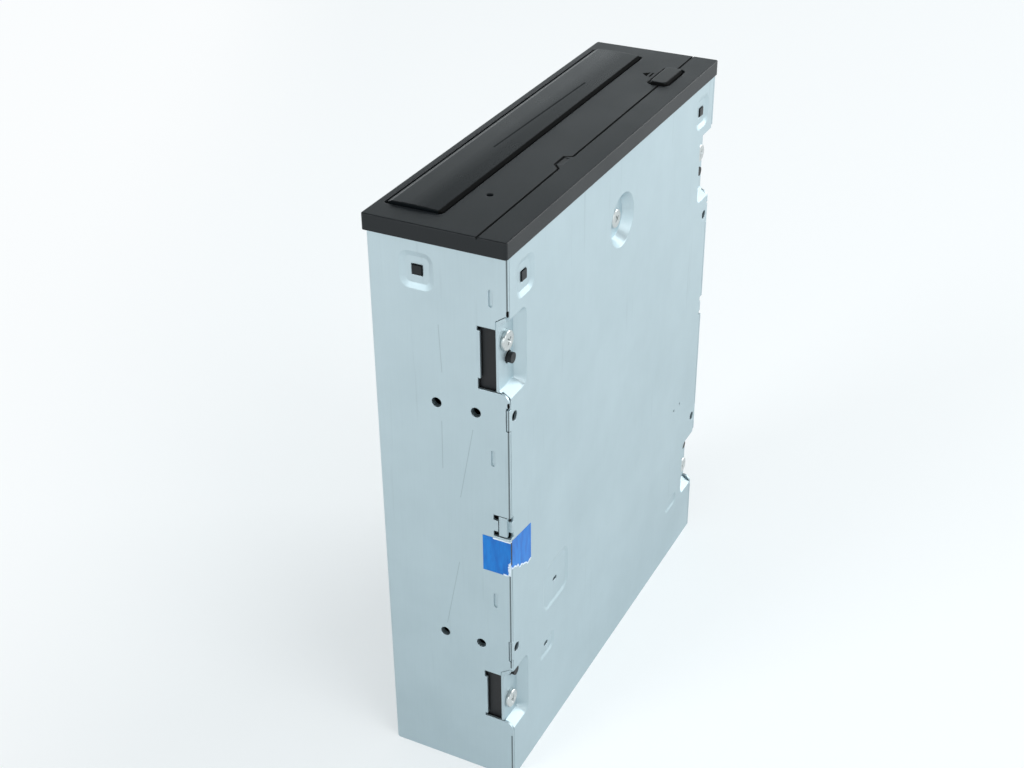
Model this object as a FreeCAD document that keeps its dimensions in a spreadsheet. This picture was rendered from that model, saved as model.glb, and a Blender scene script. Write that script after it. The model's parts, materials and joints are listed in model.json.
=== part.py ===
import FreeCAD, Part

# An internal DVD writer for a 5.25 inch bay, standing on its rear edge with its bezel up.
# Millimetres. X runs across the drive, Y through its thickness with the bottom cover facing -Y,
# and Z goes from the rear edge, at 0 on the floor, up to the bezel.
import math
import os
import types

import Sketcher
from FreeCAD import Placement, Rotation, Vector

SIZES = {
    # Case, made of two steel covers.
    "case_width": 146.0,
    "case_height": 41.3,
    "case_depth": 176.5,
    "sheet_wall": 0.8,
    "bend_radius": 1.5,
    "cover_seam": 0.25,
    "slip": 0.3,
    "rear_flange_drop": 24.8,
    "rear_lip_height": 2.6,
    # Recesses of the bottom cover for its screws. Setbacks are measured from the bezel backwards.
    "recess_depth": 2.9,
    "recess_corner": 2.5,
    "recess_reach": 62.5,
    "recess_slope": 35.0,
    "front_recess_setback": 17.5,
    "front_recess_length": 23.5,
    "rear_recess_setback": 134.5,
    "rear_recess_length": 22.3,
    "dish_radius": 8.3,
    "dish_setback": 20.0,
    "corner_screw_offset": 69.0,
    "front_screw_setback": 25.5,
    "rear_screw_setback": 148.1,
    "cover_screw_head": 2.9,
    "cover_screw_flange": 1.2,
    "cover_screw_shank": 1.4,
    "cover_screw_length": 5.0,
    "peg_offset": 67.5,
    "front_peg_setback": 31.3,
    "rear_peg_setback": 138.2,
    "peg_radius": 1.5,
    "peg_proud": 1.5,
    # Mounting holes, to the usual pattern of such drives.
    "mount_hole": 1.5,
    "side_hole_low": 9.93,
    "side_hole_high": 21.84,
    "bottom_hole_offset": 69.85,
    "first_hole_setback": 47.4,
    "hole_pitch": 79.25,
    "collar_wall": 1.0,
    "collar_depth": 0.9,
    "side_tab_length": 7.4,
    "side_tab_rise": 1.0,
    # Windows and stamped marks of the side walls.
    "window_low": 3.7,
    "window_high": 9.1,
    "window_step": 0.8,
    "front_window_low_notch": 3.3,
    "front_window_high_notch": 1.3,
    "rear_window_low_notch": 1.1,
    "rear_window_high_notch": 2.3,
    "wall_corner": 2.5,
    "wall_nick": 0.05,
    "front_window_setback": 20.9,
    "front_window_length": 18.8,
    "rear_window_setback": 136.8,
    "rear_window_length": 17.7,
    "hook_setback": 79.1,
    "hook_length": 7.2,
    "hook_height": 5.2,
    "hook_notch": 1.8,
    "hook_gap": 0.2,
    "hook_tab_low": 1.1,
    "hook_tab_high": 3.6,
    "hook_tab_length": 6.4,
    "hook_web_length": 3.6,
    "hook_foot_notch": 0.9,
    "emboss_depth": 0.4,
    "press_slope": 68.0,
    "slit_rise": 5.0,
    "slit_width": 1.1,
    "slit_length": 5.0,
    "first_slit_setback": 9.7,
    "slit_pitch": 48.5,
    # Latches of the bezel.
    "latch_setback": 9.0,
    "side_latch_rise": 26.4,
    "bottom_latch_offset": 63.0,
    "latch_window_width": 3.4,
    "latch_window_length": 3.2,
    "latch_pad_width": 7.1,
    "latch_pad_length": 7.6,
    "latch_pad_corner": 1.5,
    "latch_depth": 0.65,
    "latch_arm_wall": 1.4,
    "latch_arm_width": 5.0,
    # Marks of the bottom and top faces.
    "pad_offset": 43.5,
    "pad_setback": 120.3,
    "pad_width": 15.0,
    "pad_length": 14.0,
    "oval_length": 2.6,
    "oval_width": 1.3,
    "second_oval_offset": 49.5,
    "second_oval_setback": 141.1,
    "dimple_offset": 53.0,
    "dimple_setback": 154.1,
    "dimple_length": 8.0,
    "dimple_width": 3.2,
    "pin_hole": 0.5,
    "pin_hole_offset": 56.8,
    "pin_hole_setback": 114.3,
    "pin_hole_pitch": 5.3,
    "roof_ring_radius": 46.0,
    "roof_ring_width": 6.0,
    # Bezel.
    "bezel_width": 148.0,
    "bezel_height": 42.0,
    "bezel_thickness": 4.7,
    "bezel_corner": 0.7,
    "bezel_edge": 0.35,
    "door_opening_half": 66.1,
    "door_opening_low": 1.4,
    "door_opening_high": 19.0,
    "opening_corner": 1.2,
    "door_gap": 0.75,
    "door_proud": 0.9,
    "door_edge": 0.6,
    "door_crown_radius": 60.0,
    "door_crown": 0.7,
    "door_bevel": 1.5,
    "door_wall": 1.8,
    "door_corner": 1.0,
    "groove_level": 12.6,
    "groove_width": 0.5,
    "groove_depth": 0.6,
    "jog_left": 26.7,
    "jog_right": 17.3,
    "jog_top_left": 24.3,
    "jog_top_right": 18.3,
    "jog_rise": 2.2,
    "lens_length": 4.6,
    "lens_height": 1.4,
    "lens_flange": 0.6,
    "lens_sink": 0.08,
    "pinhole_offset": 50.0,
    "pinhole_level": 3.9,
    "pinhole_radius": 1.0,
    "skirt_wall": 1.2,
    "skirt_length": 2.6,
    "button_middle": 52.2,
    "button_level": 12.0,
    "button_length": 14.6,
    "button_width": 5.6,
    "button_corner": 1.8,
    "button_gap": 0.35,
    "button_dish": 0.6,
    "button_proud": 0.7,
    "button_flange": 0.7,
    "button_flange_wall": 0.8,
    "button_stem": 2.0,
    "button_travel": 0.6,
    "button_wear": 0.05,
    # Front board behind the bezel.
    "front_board_back": 7.2,
    "front_board_wall": 1.6,
    "front_board_left": 28.0,
    "front_board_right": 59.0,
    "front_board_low": 17.4,
    "front_board_high": 8.9,
    "switch_side": 6.0,
    "switch_height": 1.5,
    "plunger_radius": 1.5,
    "led_side": 2.0,
    "led_height": 1.2,
    # Disc and tray.
    "disc_setback": 68.0,
    "disc_recess_radius": 60.5,
    "disc_recess_floor": 6.2,
    "small_recess_radius": 40.5,
    "small_recess_floor": 5.0,
    "tray_half_width": 62.5,
    "tray_rim": 8.6,
    "tray_under": 3.6,
    "tray_rear": 10.0,
    "tray_front_back": 0.7,
    "tray_corner": 4.0,
    "tray_travel": 136.0,
    "runner_half_width": 65.0,
    "runner_inner": 61.2,
    "runner_under": 2.0,
    "runner_slip": 0.3,
    "cutout_half_width": 17.5,
    "spindle_cutout": 18.0,
    "cutout_slip": 1.5,
    "finger_notch_reach": 6.0,
    "finger_notch_corner": 3.0,
    "finger_notch": 18.0,
    "tray_rib": 1.4,
    "rear_rib_length": 22.0,
    "tray_front_bar": 6.0,
    "clip_offset": 40.0,
    "clip_width": 8.0,
    "clip_height": 5.0,
    # Gears: the tray's rack, its drive gear, the pulley gear and the belt.
    "gear_module": 0.8,
    "pinion_teeth": 20,
    "wheel_teeth": 36,
    "small_teeth": 12,
    "gear_backlash": 0.14,
    "pinion_offset": 52.0,
    "pinion_setback": 24.5,
    "pulley_angle": 22.0,
    "rack_under": 1.9,
    "rack_back": 2.5,
    "wheel_low": -5.2,
    "wheel_high": -2.2,
    "pinion_high": 3.2,
    "pulley_low": -8.7,
    "pulley_high": -5.7,
    "small_high": -1.9,
    "pulley_radius": 11.0,
    "motor_pulley_radius": 3.0,
    "pulley_groove": 0.8,
    "pulley_bore": 1.0,
    "belt_width": 1.4,
    "belt_slip": 0.06,
    "drive_post": 2.6,
    "pulley_post": 1.8,
    "bore_slip": 0.15,
    "loading_motor_offset": 19.6,
    "loading_motor_setback": 18.5,
    "loading_motor_radius": 10.0,
    "loading_motor_low": -19.3,
    "motor_boss": 3.0,
    "motor_boss_height": 1.6,
    # Loader chassis of black plastic.
    "chassis_half_width": 71.7,
    "chassis_web": 2.0,
    "chassis_rear": 4.0,
    "chassis_front_back": 7.5,
    "chassis_rail_top": 5.5,
    "rail_roof": 1.5,
    "groove_wall_outer": 67.0,
    "groove_wall_inner": 65.5,
    "ledge_inner": 61.5,
    "ledge_wall": 1.5,
    "guide_inner": 63.0,
    "guide_under": 4.1,
    "guide_length": 10.0,
    "front_deck_top": -9.2,
    "front_deck_wall": 1.5,
    "front_deck_start": 137.0,
    "rear_deck_top": 0.3,
    "rear_deck_wall": 1.5,
    "rear_deck_end": 25.0,
    "screw_boss": 2.7,
    "centre_boss": 4.0,
    "rear_boss_height": 8.0,
    "hinge_level": -8.4,
    "hinge_setback": 152.5,
    "hinge_lug_inner": 46.0,
    "hinge_lug_wall": 3.5,
    "hinge_lug_radius": 3.6,
    "hinge_pin": 2.0,
    "hinge_slip": 0.1,
    # Cam slider that lifts the front of the traverse.
    "cam_travel": 22.0,
    "cam_rise": 8.2,
    "cam_wall": 2.2,
    "cam_end": 6.0,
    "cam_corner": 1.5,
    "cam_back": 133.0,
    "cam_half_width": 29.0,
    "cam_middle": 11.0,
    "cam_low": -19.3,
    "cam_high": -4.0,
    "cam_pin": 1.5,
    "cam_pin_offset": 17.0,
    "cam_pin_length": 3.6,
    "cam_slot_slip": 0.25,
    "cam_flange_wall": 1.2,
    "cam_flange_reach": 5.6,
    "cam_rack_length": 21.0,
    "guide_lug_width": 5.0,
    "guide_lug_wall": 1.2,
    # Traverse, measured from its hinge in the lifted position.
    "frame_half_width": 45.0,
    "frame_opening_half": 37.0,
    "frame_front": 107.5,
    "frame_front_bar": 7.5,
    "frame_rear_bar": 4.0,
    "frame_half_height": 2.0,
    "bush_offset": 41.0,
    "bush_rear": 10.0,
    "bush_front": 96.0,
    "bush_radius": 3.0,
    "bush_height": 3.0,
    "bush_bore": 1.3,
    "damper_screw_head": 2.4,
    "damper_screw_flange": 0.9,
    "plate_wall": 1.0,
    "plate_corner": 3.0,
    "plate_half_width": 44.5,
    "plate_rear": 2.0,
    "plate_front": 104.0,
    "window_rear": 6.0,
    "window_front": 69.5,
    "window_left": 27.5,
    "window_right": 36.2,
    "motor_notch": 17.5,
    "motor_notch_width": 10.4,
    "spindle_reach": 84.5,
    "spindle_hole": 10.0,
    "stator_base": 15.0,
    "stator_base_wall": 1.6,
    "stator_core": 9.6,
    "stator_core_top": 8.2,
    "stator_boss": 4.5,
    "stator_boss_height": 2.0,
    "shaft_radius": 1.0,
    "shaft_slip": 0.06,
    "rotor_radius": 13.4,
    "rotor_low": 8.6,
    "rotor_wall": 0.8,
    "rotor_top": 13.9,
    "table_radius": 14.0,
    "table_wall": 1.5,
    "ring_inner": 11.0,
    "ring_wall": 0.4,
    "hub_radius": 7.4,
    "hub_tip": 5.6,
    "hub_height": 1.6,
    "rod_offset": 24.0,
    "rod_radius": 1.5,
    "rod_rear": 3.0,
    "rod_length": 70.0,
    "rod_clip_length": 2.6,
    "rod_clip_wall": 0.5,
    "screw_offset": 31.0,
    "screw_level": 4.4,
    "lead_screw_radius": 1.3,
    "lead_screw_core": 0.95,
    "lead_screw_pitch": 3.0,
    "lead_screw_rear": 7.0,
    "sled_motor_radius": 4.8,
    "sled_motor_length": 11.5,
    "sled_travel": 34.0,
    "sled_front": 66.0,
    "sled_length": 24.0,
    "sled_half_width": 20.5,
    "sled_low": 2.9,
    "sled_high": 11.0,
    "sled_sleeve": 3.0,
    "sled_hollow": 1.6,
    "lens_setback": 5.5,
    "lens_holder_half": 6.5,
    "lens_holder_low": 8.6,
    "lens_holder_high": 13.6,
    "lens_holder_slip": 0.6,
    "lens_radius": 2.4,
    "lens_top": 14.5,
    # Disc clamp above the tray.
    "bracket_low": 14.8,
    "bracket_wall": 1.0,
    "bracket_half_length": 11.0,
    "bracket_eye": 19.0,
    "bracket_leg": 68.4,
    "bracket_foot": 66.0,
    "puck_radius": 15.0,
    "puck_low": 10.0,
    "puck_high": 13.6,
    "puck_neck": 8.4,
    "puck_flange": 11.5,
    "puck_flange_wall": 1.0,
    "puck_slip": 0.3,
    "puck_recess_radius": 8.2,
    "puck_recess_depth": 1.2,
    "magnet_inner": 3.0,
    "magnet_outer": 6.5,
    "magnet_wall": 1.4,
    # Main board and the rear sockets.
    "board_low": -16.6,
    "board_wall": 1.6,
    "board_rear": 1.5,
    "board_front": 62.0,
    "board_half_width": 63.5,
    "socket_rear": 0.6,
    "data_middle": -7.5,
    "data_length": 57.5,
    "data_height": 9.0,
    "data_depth": 9.0,
    "data_wall": 1.1,
    "power_middle": -51.5,
    "power_length": 22.5,
    "power_height": 10.4,
    "power_depth": 12.5,
    "power_wall": 1.6,
    "power_pitch": 5.08,
    "pin_pitch": 2.54,
    "pin_side": 0.64,
    "power_pin": 1.05,
    "jumper_middle": 31.0,
    "audio_middle": 44.0,
    "digital_middle": 57.0,
    "audio_height": 6.4,
    "audio_depth": 8.0,
    "chip_height": 1.3,
    "capacitor_radius": 3.2,
    "capacitor_height": 7.0,
    # Seal label over the corner of the two covers.
    "label_wall": 0.12,
    "label_setback": 87.0,
    "label_side_length": 12.0,
    "label_side_height": 8.6,
    "label_bottom_length": 14.5,
    "label_bottom_width": 12.5,
}


class Size:
    """A length of the sheet, or one worked out from several: its value and its expression."""

    def __init__(self, value, text):
        self.value = value
        self.text = text

    def __add__(self, other):
        return join(self, "+", other)

    def __radd__(self, other):
        return join(other, "+", self)

    def __sub__(self, other):
        return join(self, "-", other)

    def __rsub__(self, other):
        return join(other, "-", self)

    def __mul__(self, other):
        return join(self, "*", other)

    def __rmul__(self, other):
        return join(other, "*", self)

    def __truediv__(self, other):
        return join(self, "/", other)

    def __neg__(self):
        return Size(-self.value, f"(-1 * {self.text})")


def as_size(number):
    return number if isinstance(number, Size) else Size(number, repr(float(number)))


def join(left, sign, right):
    left = as_size(left)
    right = as_size(right)
    if sign == "+":
        value = left.value + right.value
    elif sign == "-":
        value = left.value - right.value
    elif sign == "*":
        value = left.value * right.value
    else:
        value = left.value / right.value
    return Size(value, f"({left.text} {sign} {right.text})")


def arc_sine(ratio):
    """The angle, in degrees, whose sine is the ratio."""
    return Size(math.degrees(math.asin(ratio.value)), f"asin({ratio.text})")


def sine(degrees):
    return Size(math.sin(math.radians(degrees.value)), f"sin({degrees.text})")


def cosine(degrees):
    return Size(math.cos(math.radians(degrees.value)), f"cos({degrees.text})")


def number(size):
    return size.value if isinstance(size, Size) else float(size)


doc = FreeCAD.newDocument("dvd_writer")
sheet = doc.addObject("Spreadsheet::Sheet", "dims")
for row, (alias, amount) in enumerate(SIZES.items(), 1):
    sheet.set(f"A{row}", alias)
    sheet.set(f"B{row}", str(amount))
    sheet.setAlias(f"B{row}", alias)
doc.recompute()
size = types.SimpleNamespace(**{alias: Size(amount, f"dims.{alias}") for alias, amount in SIZES.items()})

nodes = []


def bind(thing, prop, amount):
    """Sets a property and ties it to the sheet."""
    if isinstance(amount, Size):
        thing.setExpression(prop, amount.text)
    else:
        thing.setExpression(prop, repr(float(amount)))


def keep(thing, label):
    """Names a finished sub-part and puts it on the list of those that are written out."""
    thing.Label = label
    nodes.append(thing)
    return thing


# Sketches. Each plane has its own pair of sketch directions:
# "across" is seen along Z (X, Y), "flat" along Y (X, Z) and "side" along X (Y, Z).
PLANES = {"across": ("XY_Plane", 1), "flat": ("XZ_Plane", -1), "side": ("YZ_Plane", 1)}


def corner_points(corners, i):
    """Where the outline meets and leaves corner i, and the centre of its rounding, if it has one."""
    here = Vector(number(corners[i][0]), number(corners[i][1]), 0)
    if len(corners[i]) < 3:
        return here, here, None
    last = corners[i - 1]
    following = corners[(i + 1) % len(corners)]
    back = (Vector(number(last[0]), number(last[1]), 0) - here).normalize()
    ahead = (Vector(number(following[0]), number(following[1]), 0) - here).normalize()
    half = back.getAngle(ahead) / 2
    radius = number(corners[i][2])
    reach = radius / math.tan(half)
    centre = here + (back + ahead).normalize() * (radius / math.sin(half))
    return here + back * reach, here + ahead * reach, centre


def draw_outline(sketch, corners):
    """A closed outline through corners (u, v) or, where the corner is round, (u, v, radius)."""
    count = len(corners)
    places = [corner_points(corners, i) for i in range(count)]
    first = sketch.GeometryCount
    lines = [Part.LineSegment(places[i][1], places[(i + 1) % count][0]) for i in range(count)]
    spots = [Part.Point(Vector(number(c[0]), number(c[1]), 0)) for c in corners]
    sketch.addGeometry(lines, False)
    sketch.addGeometry(spots, True)
    rules = []
    bound = []
    for i in range(count):
        line_in = first + (i - 1) % count
        line_out = first + i
        spot = first + count + i
        bound.append((len(rules), corners[i][0]))
        rules.append(Sketcher.Constraint("DistanceX", -1, 1, spot, 1, number(corners[i][0])))
        bound.append((len(rules), corners[i][1]))
        rules.append(Sketcher.Constraint("DistanceY", -1, 1, spot, 1, number(corners[i][1])))
        start, stop, centre = places[i]
        if centre is None:
            rules.append(Sketcher.Constraint("Coincident", line_in, 2, spot, 1))
            rules.append(Sketcher.Constraint("Coincident", line_out, 1, spot, 1))
            continue
        angle_in = math.atan2(start.y - centre.y, start.x - centre.x)
        angle_out = math.atan2(stop.y - centre.y, stop.x - centre.x)
        turn = (angle_out - angle_in) % (2 * math.pi)
        forward = turn < math.pi
        circle = Part.Circle(centre, Vector(0, 0, 1), number(corners[i][2]))
        if forward:
            arc = sketch.addGeometry(Part.ArcOfCircle(circle, angle_in, angle_out), False)
        else:
            arc = sketch.addGeometry(Part.ArcOfCircle(circle, angle_out, angle_in), False)
        rules.append(Sketcher.Constraint("PointOnObject", spot, 1, line_in))
        rules.append(Sketcher.Constraint("PointOnObject", spot, 1, line_out))
        rules.append(Sketcher.Constraint("Tangent", line_in, 2, arc, 1 if forward else 2))
        rules.append(Sketcher.Constraint("Tangent", line_out, 1, arc, 2 if forward else 1))
        bound.append((len(rules), corners[i][2]))
        rules.append(Sketcher.Constraint("Radius", arc, number(corners[i][2])))
    base = sketch.ConstraintCount
    sketch.addConstraint(rules)
    for index, amount in bound:
        if isinstance(amount, Size):
            sketch.setExpression(f"Constraints[{base + index}]", amount.text)


def draw_circle(sketch, u, v, radius):
    circle = Part.Circle(Vector(number(u), number(v), 0), Vector(0, 0, 1), number(radius))
    ring = sketch.addGeometry(circle, False)
    base = sketch.ConstraintCount
    sketch.addConstraint([
        Sketcher.Constraint("DistanceX", -1, 1, ring, 3, number(u)),
        Sketcher.Constraint("DistanceY", -1, 1, ring, 3, number(v)),
        Sketcher.Constraint("Radius", ring, number(radius)),
    ])
    for index, amount in enumerate((u, v, radius)):
        if isinstance(amount, Size):
            sketch.setExpression(f"Constraints[{base + index}]", amount.text)


def rect(u_low, u_high, v_low, v_high, radius=None):
    corners = [(u_low, v_low), (u_high, v_low), (u_high, v_high), (u_low, v_high)]
    if radius is None:
        return corners
    return [(u, v, radius) for u, v in corners]


def disc(u, v, radius):
    return types.SimpleNamespace(u=u, v=v, radius=radius)


def slab(body, name, kind, plane, low, high, *loops, taper=None):
    """Adds a Pad, or cuts a Pocket, between two levels along the axis that the plane looks along."""
    role, sign = PLANES[plane]
    sketch = body.newObject("Sketcher::SketchObject", f"{name}_sketch")
    origin_plane = next(plane for plane in body.Origin.OriginFeatures if plane.Role == role)
    sketch.AttachmentSupport = [(origin_plane, "")]
    sketch.MapMode = "FlatFace"
    upward = (kind == "Pad") == (sign > 0)
    start = low if upward else high
    bind(sketch, ".AttachmentOffset.Base.z", as_size(start) * sign)
    for loop in loops:
        if isinstance(loop, types.SimpleNamespace):
            draw_circle(sketch, loop.u, loop.v, loop.radius)
        else:
            draw_outline(sketch, loop)
    feature = body.newObject(f"PartDesign::{kind}", name)
    feature.Profile = sketch
    bind(feature, "Length", as_size(high) - low)
    if taper is not None:
        bind(feature, "TaperAngle", taper)
    return feature


def pad(body, name, plane, low, high, *loops, taper=None):
    return slab(body, name, "Pad", plane, low, high, *loops, taper=taper)


def pocket(body, name, plane, low, high, *loops, taper=None):
    return slab(body, name, "Pocket", plane, low, high, *loops, taper=taper)


def new_body(label):
    body = doc.addObject("PartDesign::Body", label)
    if hasattr(body, "AllowCompound"):
        body.AllowCompound = True
    return keep(body, label)


def box(name, x_low, x_high, y_low, y_high, z_low, z_high):
    block = doc.addObject("Part::Box", name)
    bind(block, "Length", as_size(x_high) - x_low)
    bind(block, "Width", as_size(y_high) - y_low)
    bind(block, "Height", as_size(z_high) - z_low)
    bind(block, "Placement.Base.x", x_low)
    bind(block, "Placement.Base.y", y_low)
    bind(block, "Placement.Base.z", z_low)
    return block


# How a turned primitive, which stands along its own Z, is laid along another axis.
AXES = {"x": Rotation(Vector(0, 1, 0), 90), "y": Rotation(Vector(1, 0, 0), -90), "z": Rotation()}


def turned(kind, name, axis, centre_x, centre_y, centre_z, length):
    piece = doc.addObject(kind, name)
    piece.Placement = Placement(Vector(), AXES[axis])
    bind(piece, "Height", length)
    bind(piece, "Placement.Base.x", centre_x)
    bind(piece, "Placement.Base.y", centre_y)
    bind(piece, "Placement.Base.z", centre_z)
    return piece


def rod(name, axis, radius, x, y, z, length):
    """A cylinder from (x, y, z) along the axis."""
    piece = turned("Part::Cylinder", name, axis, x, y, z, length)
    bind(piece, "Radius", radius)
    return piece


def fuse(name, pieces):
    joined = doc.addObject("Part::MultiFuse", name)
    joined.Shapes = pieces
    return joined


def group(name, pieces):
    """Pieces that stay separate solids and share one node."""
    together = doc.addObject("Part::Compound", name)
    together.Links = pieces
    return together


def cut(name, base, tools):
    left = doc.addObject("Part::Cut", name)
    left.Base = base
    left.Tool = tools[0] if len(tools) == 1 else fuse(f"{name}_tools", tools)
    return left


def hinged(piece):
    """Lowers a traverse piece, drawn about its hinge in the lifted position, to its rest."""
    piece.Placement = Placement(Vector(), Rotation(Vector(1, 0, 0), rest_angle.value))
    bind(piece, "Placement.Base.y", size.hinge_level)
    bind(piece, "Placement.Base.z", hinge_z)
    bind(piece, "Placement.Rotation.Angle", rest_angle)
    return piece


# Places that several pieces share.
half_width = size.case_width / 2
bottom = -size.case_height / 2
top = size.case_height / 2
front = size.case_depth
inner_half = half_width - size.sheet_wall
floor_inside = bottom + size.sheet_wall
roof_inside = top - size.sheet_wall
recess_roof = bottom + size.recess_depth + size.sheet_wall
bezel_front = front + size.bezel_thickness
disc_z = front - size.disc_setback
hinge_z = front - size.hinge_setback
pin_reach = size.frame_front + size.cam_pin_length / 2
rest_angle = arc_sine(size.cam_rise / pin_reach)
pitch_pinion = size.gear_module * size.pinion_teeth / 2
pitch_wheel = size.gear_module * size.wheel_teeth / 2
pitch_small = size.gear_module * size.small_teeth / 2
drive_x = -size.pinion_offset
drive_z = front - size.pinion_setback
pulley_x = drive_x + (pitch_wheel + pitch_small) * cosine(size.pulley_angle)
pulley_z = drive_z + (pitch_wheel + pitch_small) * sine(size.pulley_angle)
motor_x = size.loading_motor_offset
motor_z = front - size.loading_motor_setback
screw_spots = [
    (sign * size.corner_screw_offset, front - setback)
    for sign in (-1, 1)
    for setback in (size.front_screw_setback, size.rear_screw_setback)
]
peg_spots = [
    (sign * size.peg_offset, front - setback)
    for sign in (-1, 1)
    for setback in (size.front_peg_setback, size.rear_peg_setback)
]
mount_rows = [front - size.first_hole_setback, front - size.first_hole_setback - size.hole_pitch]
latch_z = front - size.latch_setback
recess_run = size.recess_depth * sine(size.recess_slope) / cosine(size.recess_slope)
beyond = size.case_width


def emboss(body, name, plane, face, inward, depth, *floors, slope=None):
    """Presses the sheet inwards to flat floors, straight or with sloping walls, and keeps its thickness."""
    wall = size.sheet_wall
    rims = floors
    if slope is not None:
        run = depth * sine(slope) / cosine(slope)
        rims = [shrunk(loop, -run) for loop in floors]
    pad_from_rim = (PLANES[plane][1] > 0) == (inward > 0)
    for kind, start, from_rim in (("inside", face + wall * inward, pad_from_rim),
                                  ("outside", face, not pad_from_rim)):
        low, high = (start, start + depth) if inward > 0 else (start - depth, start)
        build = pad if kind == "inside" else pocket
        if slope is None:
            build(body, f"{name}_{kind}", plane, low, high, *floors)
        elif from_rim:
            build(body, f"{name}_{kind}", plane, low, high, *rims, taper=-slope)
        else:
            build(body, f"{name}_{kind}", plane, low, high, *floors, taper=slope)


def top_cover():
    """U-shaped steel cover: the top face, both side walls and a flange across the rear."""
    body = new_body("top_cover")
    wall = size.sheet_wall
    inner_bend = size.bend_radius - wall
    pad(body, "cover_sheet", "across", 0, front, [
        (-half_width, bottom),
        (-inner_half, bottom),
        (-inner_half, roof_inside, inner_bend),
        (inner_half, roof_inside, inner_bend),
        (inner_half, bottom),
        (half_width, bottom),
        (half_width, top, size.bend_radius),
        (-half_width, top, size.bend_radius),
    ])
    flange_low = top - size.rear_flange_drop
    pad(body, "rear_flange", "across", 0, wall, rect(-inner_half, inner_half, flange_low, roof_inside))
    hole_levels = [bottom + size.side_hole_low, bottom + size.side_hole_high]
    holes = [disc(y, z, size.mount_hole) for y in hole_levels for z in mount_rows]
    collars = [disc(y, z, size.mount_hole + size.collar_wall) for y in hole_levels for z in mount_rows]
    for side, face, sign in (("left", -half_width, 1), ("right", half_width, -1)):
        inner = face + sign * wall
        deep = inner + sign * size.collar_depth
        low, high = (inner, deep) if sign > 0 else (deep, inner)
        pad(body, f"{side}_collars", "side", low, high, *collars)
        latch_y = bottom + size.side_latch_rise
        emboss(body, f"{side}_latch_pad", "side", face, sign, size.latch_depth,
               rect(latch_y - size.latch_pad_width / 2, latch_y + size.latch_pad_width / 2,
                    latch_z - size.latch_pad_length / 2, latch_z + size.latch_pad_length / 2,
                    size.latch_pad_corner),
               slope=size.press_slope)
        slits = []
        for step in range(3):
            slit_top = front - size.first_slit_setback - step * size.slit_pitch
            slit_y = bottom + size.slit_rise
            slits.append(rect(slit_y - size.slit_width / 2, slit_y + size.slit_width / 2,
                              slit_top - size.slit_length, slit_top, size.slit_width * 0.45))
        emboss(body, f"{side}_slits", "side", face, sign, size.emboss_depth, *slits)
        window_y = bottom + size.side_latch_rise
        openings = [*holes, rect(
            window_y - size.latch_window_width / 2, window_y + size.latch_window_width / 2,
            latch_z - size.latch_window_length / 2, latch_z + size.latch_window_length / 2)]
        sill = bottom + size.window_low
        head = bottom + size.window_high
        step = head - size.window_step
        nick = bottom + size.wall_nick
        for start, length, recess, low_notch, high_notch in (
            (size.front_window_setback, size.front_window_length, size.front_recess_setback,
             size.front_window_low_notch, size.front_window_high_notch),
            (size.rear_window_setback, size.rear_window_length, size.rear_recess_setback,
             size.rear_window_low_notch, size.rear_window_high_notch),
        ):
            window_top = front - start
            window_foot = window_top - length
            gap_top = front - recess + wall + size.cover_seam
            openings.append([
                (bottom - wall, gap_top),
                (bottom + wall, gap_top),
                (sill, gap_top - recess_run),
                (sill, window_top),
                (head, window_top),
                (head, window_top - high_notch),
                (step, window_top - high_notch),
                (step, window_foot + low_notch),
                (head, window_foot + low_notch),
                (head, window_foot),
                (nick, window_foot, size.wall_corner),
                (nick, window_foot - size.wall_corner - wall),
                (bottom - wall, window_foot - size.wall_corner - wall),
            ])
        hook_top = front - size.hook_setback
        hook_foot = hook_top - size.hook_length
        tongue = bottom + size.hook_tab_high + size.hook_gap
        openings.append([
            (bottom - wall, hook_foot),
            (bottom + size.hook_height, hook_foot),
            (bottom + size.hook_height, hook_foot + size.hook_notch),
            (tongue, hook_foot + size.hook_notch),
            (tongue, hook_top - size.hook_notch),
            (bottom + size.hook_height, hook_top - size.hook_notch),
            (bottom + size.hook_height, hook_top),
            (bottom - wall, hook_top),
        ])
        for z in mount_rows:
            openings.append(rect(bottom - wall, bottom + size.side_tab_rise,
                                 z - size.side_tab_length / 2, z + size.side_tab_length / 2))
        reach = face + sign * size.bend_radius * 2
        low, high = (face - wall, reach) if sign > 0 else (reach, face + wall)
        pocket(body, f"{side}_openings", "side", low, high, *openings)
    outer = size.roof_ring_radius + size.roof_ring_width / 2
    inner = size.roof_ring_radius - size.roof_ring_width / 2
    emboss(body, "roof_ring", "flat", top, -1, size.emboss_depth,
           disc(0, disc_z, outer), disc(0, disc_z, inner))


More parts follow.
